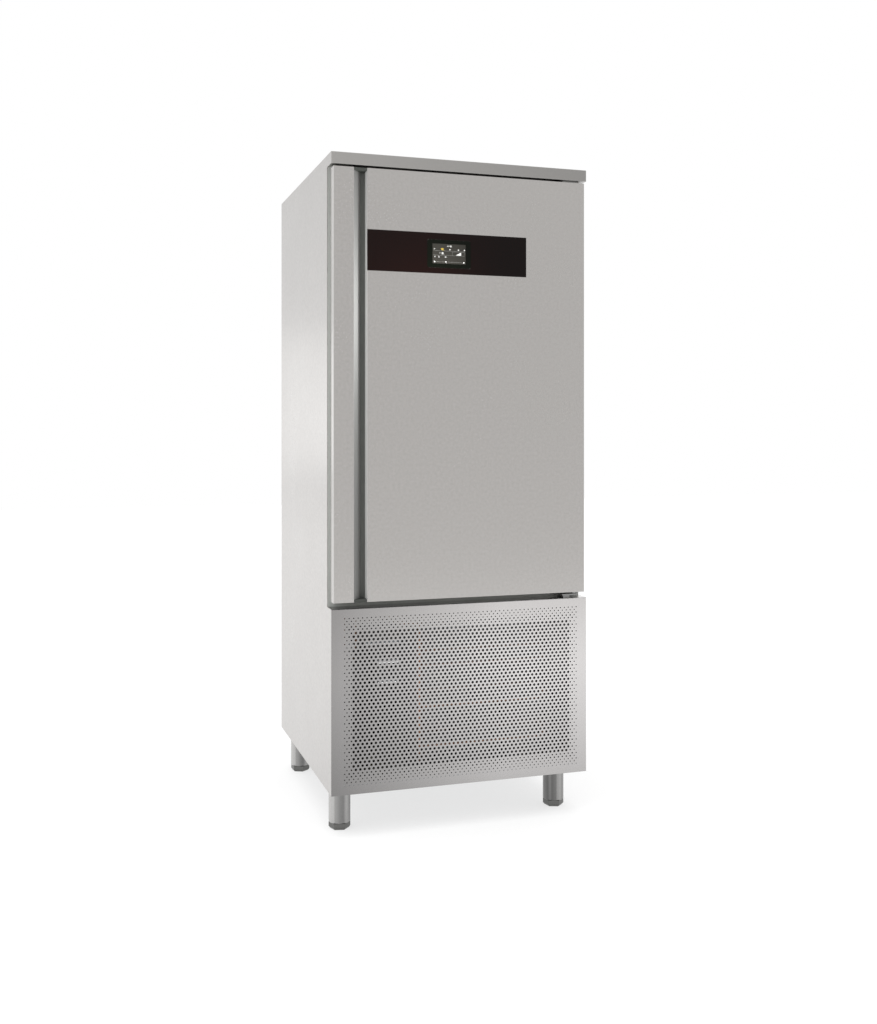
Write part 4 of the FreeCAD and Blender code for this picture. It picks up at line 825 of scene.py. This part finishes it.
def perforated_sheet():
    """The panel's front and back faces, the walls of its holes and its rim."""
    shape = bmesh.new()
    lines = [row_heights[0] + 0.0045]
    lines += [(above + below) / 2 for above, below in zip(row_heights, row_heights[1:])]
    lines += [row_heights[-1] - 0.0045]
    marks = [first_hole - hole_pitch / 2 + step * hole_pitch / 2 for step in range(2 * hole_columns + 1)]
    depths = (panel_front, panel_front + sheet_thickness)
    grids = [[[shape.verts.new((x, y, z)) for x in marks] for z in lines] for y in depths]
    angles = [math.radians(30 * step) for step in range(12)]
    for row, z in enumerate(row_heights):
        offset = row % 2
        columns = hole_columns - offset
        for column in range(columns):
            middle = 2 * column + 1 + offset
            radius = hole_radius(row, column, columns)
            rims = []
            for grid, y in zip(grids, depths):
                rim = []
                for angle in angles:
                    x = marks[middle] + radius * math.cos(angle)
                    rim.append(shape.verts.new((x, y, z + radius * math.sin(angle))))
                tl, tm, tr = grid[row][middle - 1:middle + 2]
                bl, bm, br = grid[row + 1][middle - 1:middle + 2]
                for corners in (
                    (br, tr, rim[1], rim[0], rim[11]), (tr, rim[2], rim[1]), (tr, tm, rim[3], rim[2]),
                    (tm, tl, rim[4], rim[3]), (tl, rim[5], rim[4]), (tl, bl, rim[7], rim[6], rim[5]),
                    (bl, rim[8], rim[7]), (bl, bm, rim[9], rim[8]), (bm, br, rim[10], rim[9]), (br, rim[11], rim[10]),
                ):
                    shape.faces.new(corners)
                rims.append(rim)
            for side in range(12):
                after = (side + 1) % 12
                shape.faces.new((rims[0][side], rims[0][after], rims[1][after], rims[1][side]))
        if offset:
            for grid in grids:
                for a, b in ((0, 1), (len(marks) - 2, len(marks) - 1)):
                    shape.faces.new((grid[row][a], grid[row][b], grid[row + 1][b], grid[row + 1][a]))
    borders = []
    edges = ((panel_left, panel_high), (panel_right, panel_high), (panel_right, panel_low), (panel_left, panel_low))
    for grid, y in zip(grids, depths):
        corners = [shape.verts.new((x, y, z)) for x, z in edges]
        left = [line[0] for line in grid]
        right = [line[-1] for line in grid]
        shape.faces.new([corners[0], corners[1]] + grid[0][::-1])
        shape.faces.new([corners[1], corners[2]] + right[::-1])
        shape.faces.new([corners[2], corners[3]] + grid[-1])
        shape.faces.new([corners[3], corners[0]] + left)
        borders.append(corners)
    for side in range(4):
        after = (side + 1) % 4
        shape.faces.new((borders[0][side], borders[0][after], borders[1][after], borders[1][side]))
    return shape


def on_fold(a, b):
    """The panel's top and side edges, on its front."""
    def both_at(axis, place):
        return max(abs(a[axis] - place), abs(b[axis] - place)) < 1e-6

    return both_at(1, panel_front) and (both_at(2, panel_high) or both_at(0, panel_left) or both_at(0, panel_right))


field = perforated_sheet()
soften(field, 0.0013, 3, on_fold)
panel_back = panel_front + sheet_thickness
add_box(field, (-inner, inner), (panel_back, cell_front), (panel_high - sheet_thickness, panel_high))
for side in (-1, 1):
    reach = sorted((side * inner, side * (inner - sheet_thickness)))
    add_box(field, reach, (panel_back, -0.385), (0.157, panel_high - sheet_thickness))
# Painted reflection and shade: the perforated front is painted much darker towards its left and its bottom, and
# lighter towards its top.
lower_steel = sheet_metal(
    "lower_panel_steel", (0.62, 0.605, 0.60), 0.20, (0.3, 1, 1), tone=0.015,
    painted_light_ramps=[("X", panel_left, 0.12, 0.55, 1.11), ("Z", 0.125, 0.45, 0.67, 1.0), ("Z", 0.45, 0.653, 1.0, 1.11)],
)
piece_from(field, "perforated_front", lower_steel, "cabinet", ["perforated_panel"])

# ---- Hinges ----
# Two plated steel brackets screwed to the cell, over and under the door, each with the round
# pin that a bush in the door turns on.
def add_prism(shape, outline, low, high):
    """Adds an upright block with the given outline."""
    join_rings(shape, [[shape.verts.new((x, y, z)) for x, y in outline] for z in (low, high)])


hinge_place = (0.3605, -0.382, 0)
hinge_steel = plain_finish("hinge_steel", (0.30, 0.30, 0.295), 0.28, metallic=1.0, bump=0.05)
arm = [(0.2975, -0.344), (0.3105, -0.366), (0.3225, -0.390), (0.3705, -0.390), (0.3725, -0.344)]
for name, low, high, pin_low, pin_high in (
    ("lower", 0.6600, 0.6645, 0.6645, 0.6985),
    ("upper", 1.9120, 1.9160, 1.8815, 1.9120),
):
    bracket = bmesh.new()
    add_prism(bracket, arm, low, high)
    soften(bracket, 0.0035, 4, lambda a, b: (a - b).xy.length < 1e-5 and a.y < -0.35)
    soften(bracket, 0.0006, 2, lambda a, b: abs(a.z - b.z) < 1e-5)
    pin = [(0.0052, pin_low), (0.0060, pin_low + 0.0008), (0.0060, pin_high - 0.0008), (0.0052, pin_high)]
    add_turned(bracket, hinge_place, pin, 40)
    if name == "lower":
        add_soft_box(bracket, (0.3245, 0.3465), (-0.386, cell_front), (0.653, 0.660), 0.0006)
    piece_from(bracket, f"{name}_bracket", hinge_steel, "cabinet", [f"{name}_hinge_bracket"])

# ---- Door ----
# Foam between stainless skins. One sheet folds into the strip, the slope and the full-height
# finger pocket at its left, and a second into the main face with the lip over the pocket.
door_steel = sheet_metal("door_steel", (0.600, 0.583, 0.567), 0.25, (1, 1, 0.3), tone=0.042)
handle_steel = sheet_metal("handle_steel", (0.285, 0.285, 0.278), 0.55, (1, 1, 0.3), tone=0.03, metallic=0.5)
door_low, door_high = 0.6705, 1.9095
end_levels = ((door_low, door_low + sheet_thickness), (door_high - sheet_thickness, door_high))
face = bmesh.new()
face_path = [(-0.278, -0.374), (-0.2905, -0.374), (-0.2905, -0.400), (0.3885, -0.400), (0.3885, -0.360)]
add_bent_sheet(face, bent_sheet(face_path, sheet_thickness, 0.0003), door_low, door_high)
glass_right, glass_levels = 0.1985, (1.617, 1.735)
recess = bmesh.new()
add_box(recess, (-0.2925, glass_right), (-0.402, -0.399), glass_levels)
face = carved(face, recess)
face_end = [(-0.2765, -0.3755), (-0.289, -0.3755), (-0.289, -0.3985), (0.387, -0.3985), (0.387, -0.3615)]
face_end.append((-0.2765, -0.3615))
for low, high in end_levels:
    ends = bmesh.new()
    add_prism(ends, face_end, low, high)
    bush = bmesh.new()
    add_turned(bush, hinge_place, [(0.0098, low - 0.001), (0.0098, high + 0.001)], 40)
    add_shape(face, carved(ends, bush))
front = piece_from(face, "door_face", door_steel, "door", ["door_front"])
lip_steel = sheet_metal("lip_steel", (0.55, 0.55, 0.54), 0.55, (1, 1, 0.3), tone=0.03, metallic=0.25)
front.data.materials.append(lip_steel)
for polygon in front.data.polygons:
    if polygon.center.x < -0.2904 and polygon.normal.x < -0.9:
        polygon.material_index = 1

handle = bmesh.new()
handle_path = [(-0.3885, -0.360), (-0.3885, -0.400), (-0.330, -0.400), (-0.304, -0.370), (-0.304, -0.364)]
handle_path += [(-0.278, -0.364), (-0.278, -0.374)]
add_bent_sheet(handle, bent_sheet(handle_path, sheet_thickness, 0.0005), door_low, door_high)
handle_end = [(-0.387, -0.3615), (-0.387, -0.3985), (-0.3307, -0.3985), (-0.3055, -0.3694), (-0.3055, -0.3625)]
handle_end += [(-0.2765, -0.3625), (-0.2765, -0.3615)]
for low, high in end_levels:
    add_prism(handle, handle_end, low, high)
strip = piece_from(handle, "door_handle", door_steel, "door", ["handle_profile"])
strip.data.materials.append(handle_steel)
for polygon in strip.data.polygons:
    if polygon.center.x > -0.3298 and polygon.center.y < -0.363:
        polygon.material_index = 1

# ---- Handle ends and pocket lining ----
# Dark moulded plugs close the channel at its two ends, and a thin ribbed strip of the same
# plastic lines the floor of the pocket behind the lip.
plug_plastic = plain_finish("plug_plastic", (0.035, 0.038, 0.034), 0.6, bump=0.08)
lining_plastic = plain_finish("lining_plastic", (0.130, 0.137, 0.127), 0.55, bump=0.08)
plugs = bmesh.new()
plug_outline = [(-0.32896, -0.3988), (-0.304, -0.370), (-0.304, -0.364), (-0.278, -0.364), (-0.278, -0.374)]
plug_outline += [(-0.2905, -0.374), (-0.2905, -0.3988)]
for low, high in ((door_low, door_low + 0.008), (door_high - 0.008, door_high)):
    add_prism(plugs, plug_outline, low, high)
soften(plugs, 0.0007, 2, lambda a, b: abs(a.z - b.z) < 1e-5 and min(a.y, b.y) < -0.372)
piece_from(plugs, "channel_plugs", plug_plastic, "door", ["handle_caps"])
lining = bmesh.new()
ribbed = [(-0.304, -0.364), (-0.304, -0.3652)]
for rib in range(6):
    start = -0.3032 + 0.0042 * rib
    ribbed += [(start, -0.3652), (start + 0.0008, -0.3660), (start + 0.0024, -0.3660), (start + 0.0032, -0.3652)]
ribbed += [(-0.278, -0.3652), (-0.278, -0.364)]
add_prism(lining, ribbed, 0.6785, 1.9015)
piece_from(lining, "pocket_lining", lining_plastic, "door", ["grip_strip"])

# ---- Inside of the door and its seal ----
# A pressed stainless inner sheet with a shallow plug that enters the chamber mouth. The soft
# magnetic seal has a bellows section, mitred and welded at its corners.
liner = bmesh.new()
add_box(liner, (-0.387, 0.387), (-0.3615, -0.360), (door_low, door_high))
plug = bmesh.new()
mouth_middle = 1.290
corner_ways = ((-1, -1), (1, -1), (1, 1), (-1, 1))
for inset, y in ((0.0, -0.3602), (0.008, -0.342)):
    for side, level in corner_ways:
        plug.verts.new((side * (0.318 - inset), y, mouth_middle + level * (0.558 - inset)))
corners = list(plug.verts)
join_rings(plug, [corners[:4], corners[4:]])
soften(plug, 0.006, 4, lambda a, b: min(a.y, b.y) > -0.3450 or abs(a.y - b.y) > 0.01)
add_shape(liner, plug)
piece_from(liner, "inner_sheet", chamber_steel, "door", ["door_liner"])

seal_rubber = plain_finish("seal_rubber", (0.360, 0.370, 0.350), 0.6, bump=0.1)
half_section = [(2.0, 0.0), (2.0, 2.0), (5.0, 3.5), (5.0, 5.0), (0.4, 7.0), (0.0, 8.0), (5.0, 10.0), (5.0, 11.3)]
half_section += [(0.5, 12.6), (0.0, 13.6), (0.0, 14.8), (0.8, 15.7)]
section = half_section + [(22.0 - across, depth) for across, depth in half_section[::-1]]
seal = bmesh.new()
loops = []
for across, depth in section:
    half = 0.336 + across / 1000
    tall = 0.576 + across / 1000
    y = -0.360 + depth / 1000
    loops.append([seal.verts.new((a * half, y, mouth_middle + b * tall)) for a, b in corner_ways])
join_rings(seal, loops, closed=True)
soften(seal, 0.0005, 2, lambda a, b: min(a.y, b.y) > -0.3460 and abs(a.y - b.y) < 0.0002)
piece_from(seal, "bellows_seal", seal_rubber, "door", ["door_gasket"])

# ---- Controls ----
# A strip of back-printed glass, let in flush with the door's face, with a bordered touch
# display in it. The picture on the display is a thin printed layer behind its cover.
def add_rounded_plate(shape, x, z, y, radius, steps=6):
    """Adds an upright plate with round corners."""
    rings = []
    for depth in y:
        ring = []
        for centre_x, centre_z, start in (
            (x[1] - radius, z[1] - radius, 0), (x[0] + radius, z[1] - radius, 90),
            (x[0] + radius, z[0] + radius, 180), (x[1] - radius, z[0] + radius, 270),
        ):
            for step in range(steps + 1):
                angle = math.radians(start + 90 * step / steps)
                ring.append(shape.verts.new(
                    (centre_x + radius * math.cos(angle), depth, centre_z + radius * math.sin(angle))
                ))
        rings.append(ring)
    join_rings(shape, rings)


def glass_finish(name, colour, roughness, level):
    """Printed glass: one dark colour with a trace of unevenness, and a weak clean reflection."""
    material = plain_finish(name, colour, roughness, speckle=0.04)
    material.node_tree.nodes["Principled BSDF"].inputs["Specular IOR Level"].default_value = level
    return material


glass_front, glass_back = -0.400, -0.399
display_x, display_z = (-0.095, 0.007), (1.646, 1.704)
control_black = glass_finish("control_glass", (0.0026, 0.0004, 0.0002), 0.10, 0.18)
border_black = glass_finish("display_border", (0.0012, 0.0018, 0.0008), 0.14, 0.14)
display_grey = glass_finish("display_face", (0.020, 0.019, 0.016), 0.14, 0.17)
glass = bmesh.new()
add_box(glass, (-0.2905, glass_right), (glass_front, glass_back), glass_levels)
soften(glass, 0.0009, 3, lambda a, b: max(a.x, b.x) < -0.290 and max(a.y, b.y) < -0.3999)
opening = bmesh.new()
add_rounded_plate(opening, (-0.111, 0.023), (1.634, 1.7155), (-0.401, -0.398), 0.005)
glass = carved(glass, opening)
piece_from(glass, "glass_strip", control_black, "door", ["control_glass"])
border = bmesh.new()
add_rounded_plate(border, (-0.1108, 0.0228), (1.6342, 1.7153), (glass_front, glass_back), 0.005)
soften(border, 0.0003, 2, lambda a, b: max(a.y, b.y) < -0.3999)
opening = bmesh.new()
add_box(opening, display_x, (-0.401, -0.398), display_z)
border = carved(border, opening)
piece_from(border, "display_rim", border_black, "door", ["display_bezel"])
screen_front = -0.3997
screen = bmesh.new()
add_soft_box(screen, display_x, (screen_front, glass_back), display_z, 0.0001, 1)
piece_from(screen, "display_panel", display_grey, "door", ["display_screen"])


def add_mark(shape, x, z, wide, tall):
    """Adds one bar of the display's picture, from its centre in millimetres across and down."""
    left, top = display_x[0], display_z[1]
    across = (left + (x - wide / 2) / 1000, left + (x + wide / 2) / 1000)
    up = (top - (z + tall / 2) / 1000, top - (z - tall / 2) / 1000)
    add_box(shape, across, (screen_front - 0.0001, screen_front), up)


segments = {
    "0": "abcdef", "1": "bc", "2": "abged", "3": "abgcd", "4": "fgbc", "5": "afgcd", "6": "afgedc",
    "7": "abc", "8": "abcdefg", "9": "abcdfg", "-": "g",
}


def add_digits(shape, text, x, z, tall):
    """Adds a row of segment digits, centred on a point of the display."""
    wide = tall * 0.55
    thin = tall * 0.14
    pitch = wide * 1.45
    places = {
        "a": (0, -0.5, True), "g": (0, 0, True), "d": (0, 0.5, True), "f": (-0.5, -0.25, False),
        "b": (0.5, -0.25, False), "e": (-0.5, 0.25, False), "c": (0.5, 0.25, False),
    }
    for place, letter in enumerate(text):
        middle = x + (place - (len(text) - 1) / 2) * pitch
        for part in segments[letter]:
            across, down, flat = places[part]
            size = (wide if flat else thin, thin if flat else tall / 2)
            add_mark(shape, middle + across * wide, z + down * tall, *size)


def display_layer(name, colour, shape):
    """The marks of one colour, as one printed layer."""
    finish = glass_finish(name, colour, 0.3, 0.1)
    piece_from(shape, name, finish, "door")


white_marks = bmesh.new()
add_digits(white_marks, "12", 46.0, 6.5, 3.4)
add_digits(white_marks, "00", 56.0, 6.5, 3.4)
for z in (5.7, 7.3):
    add_mark(white_marks, 51.0, z, 0.7, 0.7)
for turn in (0, 60, 120):
    for step in range(-3, 4):
        way = math.radians(turn)
        add_mark(white_marks, 6.0 + step * 0.55 * math.cos(way), 15.0 + step * 0.55 * math.sin(way), 0.6, 0.6)
add_digits(white_marks, "-18", 27.5, 27.3, 5.4)
for x in (7.4, 20.1, 40.2):
    add_mark(white_marks, x, 39.0, 4.6, 0.7)
    add_mark(white_marks, x, 36.8, 2.4, 0.7)
for x in (53.6, 79.7, 98.3):
    add_mark(white_marks, x, 16.2, 2.6, 2.6)
for x in (6.7, 41.0, 96.0):
    add_mark(white_marks, x, 52.5, 3.0, 3.0)
for step in range(8):
    tall = 1.0 + step
    add_mark(white_marks, 73.0 + step * 2.0, 32.0 - tall / 2, 1.5, tall)
display_layer("white_marks", (0.62, 0.62, 0.60), white_marks)
yellow_marks = bmesh.new()
add_digits(yellow_marks, "90", 29.8, 15.7, 5.0)
display_layer("yellow_marks", (0.50, 0.36, 0.05), yellow_marks)
grey_marks = bmesh.new()
for z, wide in ((20.5, 96.0), (33.4, 96.0), (52.5, 90.0)):
    add_mark(grey_marks, 51.0, z, wide, 0.5)
add_mark(grey_marks, 80.4, 22.4, 38.0, 0.4)
for x in (61.2, 99.4):
    add_mark(grey_marks, x, 27.6, 0.4, 10.4)
display_layer("grey_marks", (0.14, 0.14, 0.13), grey_marks)

# ---- Studio ----
# The cabinet stands on a wide sheet of white paper in a white room whose wall and floor are
# greyer behind the camera. The camera is level, to the left, with the cabinet low in its lens.
scene = bpy.context.scene
scene.view_settings.view_transform = "Standard"
camera_data = bpy.data.cameras.new("camera")
camera_data.lens = 40.0
camera_data.sensor_width = 36.0
camera_data.shift_y = -0.080
camera = bpy.data.objects.new("camera", camera_data)
camera.location = (-1.096, -3.552, 1.161)
camera.rotation_euler = (math.radians(90), 0, math.radians(-17.92))
scene.collection.objects.link(camera)
scene.camera = camera

reach = 14.0
paper = bpy.data.meshes.new("paper")
paper.from_pydata([(a * reach, b * reach, -0.0003) for a, b in corner_ways], [], [(0, 1, 2, 3)])
floor = bpy.data.objects.new("floor", paper)
scene.collection.objects.link(floor)


wall_grey = (0.71, 0.705, 0.70, 1)


def towards_wall(tree, way):
    """How far a direction points to the greyer wall behind the camera."""
    facing = tree.nodes.new("ShaderNodeVectorMath")
    facing.operation = "DOT_PRODUCT"
    facing.inputs[1].default_value = (0.10, -0.99, 0.10)
    tree.links.new(way, facing.inputs[0])
    return ranged(tree, facing.outputs["Value"], 0.20, 0.95, smooth=True)


white_paper = bpy.data.materials.new("white_paper")
white_paper.use_nodes = True
tree = white_paper.node_tree
tree.nodes.clear()
place = tree.nodes.new("ShaderNodeNewGeometry")
depth = part_of(tree, place.outputs["Position"], "Y")
outward = tree.nodes.new("ShaderNodeVectorMath")
outward.operation = "NORMALIZE"
tree.links.new(place.outputs["Position"], outward.inputs[0])
wall_side = towards_wall(tree, outward.outputs["Vector"])
near_grey = joined_values(tree, "MULTIPLY", wall_side, ranged(tree, depth, -2.6, -4.7, smooth=True))
far_grey = joined_values(tree, "MULTIPLY", wall_side, ranged(tree, depth, -6.0, -11.0, smooth=True))
paper_colour = toned(tree, near_grey, (0.99, 0.99, 0.99, 1), (0.63, 0.625, 0.62, 1))
paper_colour = toned(tree, far_grey, paper_colour, wall_grey)
diffuse = tree.nodes.new("ShaderNodeBsdfDiffuse")
glow = node_of(tree, "ShaderNodeEmission", Strength=1.0)
tree.links.new(paper_colour, diffuse.inputs["Color"])
tree.links.new(paper_colour, glow.inputs["Color"])
seen = tree.nodes.new("ShaderNodeLightPath")
mirrored = joined_values(tree, "ADD", seen.outputs["Is Camera Ray"], seen.outputs["Is Glossy Ray"])
all_seen = joined_values(tree, "ADD", mirrored, seen.outputs["Is Transmission Ray"])
plain_share = 0.70
share = joined_values(tree, "MULTIPLY", all_seen, plain_share)
blend = tree.nodes.new("ShaderNodeMixShader")
surface = tree.nodes.new("ShaderNodeOutputMaterial")
tree.links.new(share, blend.inputs[0])
tree.links.new(diffuse.outputs[0], blend.inputs[1])
tree.links.new(glow.outputs[0], blend.inputs[2])
tree.links.new(blend.outputs[0], surface.inputs["Surface"])
paper.materials.append(white_paper)

room = bpy.data.worlds.new("white_room")
scene.world = room
room.use_nodes = True
tree = room.node_tree
tree.nodes.clear()
way = tree.nodes.new("ShaderNodeTexCoord")
room_colour = toned(tree, towards_wall(tree, way.outputs["Generated"]), (1.0, 1.0, 1.0, 1), wall_grey)
soft = node_of(tree, "ShaderNodeBackground", Strength=1.0)
tree.links.new(room_colour, soft.inputs["Color"])
surface = tree.nodes.new("ShaderNodeOutputWorld")
tree.links.new(soft.outputs[0], surface.inputs["Surface"])


def soft_lamp(name, place, target, size, power, mirrored=True, tall=None):
    """A flat lamp that faces a point."""
    data = bpy.data.lights.new(name, "AREA")
    data.shape = "RECTANGLE"
    data.size = size
    data.size_y = tall or size
    data.energy = power
    lamp = bpy.data.objects.new(name, data)
    lamp.location = place
    lamp.rotation_euler = (Vector(target) - Vector(place)).to_track_quat("-Z", "Y").to_euler()
    lamp.visible_camera = False
    lamp.visible_glossy = mirrored
    scene.collection.objects.link(lamp)


soft_lamp("handle_light", (-0.052, -0.614, 1.50), (-0.317, -0.385, 1.50), 0.10, 4.1, mirrored=False)
soft_lamp("lip_light", (-0.95, -0.95, 1.30), (-0.2905, -0.387, 1.30), 0.15, 7.0, mirrored=False, tall=1.3)
soft_lamp("side_light", (-1.4, 3.0, 1.33), (-0.395, 0.0, 1.33), 0.8, 0.72)
ceiling = bpy.data.lights.new("ceiling_light", "SUN")
ceiling.energy = 1.4
ceiling.angle = math.radians(50)
skylight = bpy.data.objects.new("ceiling_light", ceiling)
skylight.location = (0, 0, 4)
skylight.visible_glossy = False
scene.collection.objects.link(skylight)
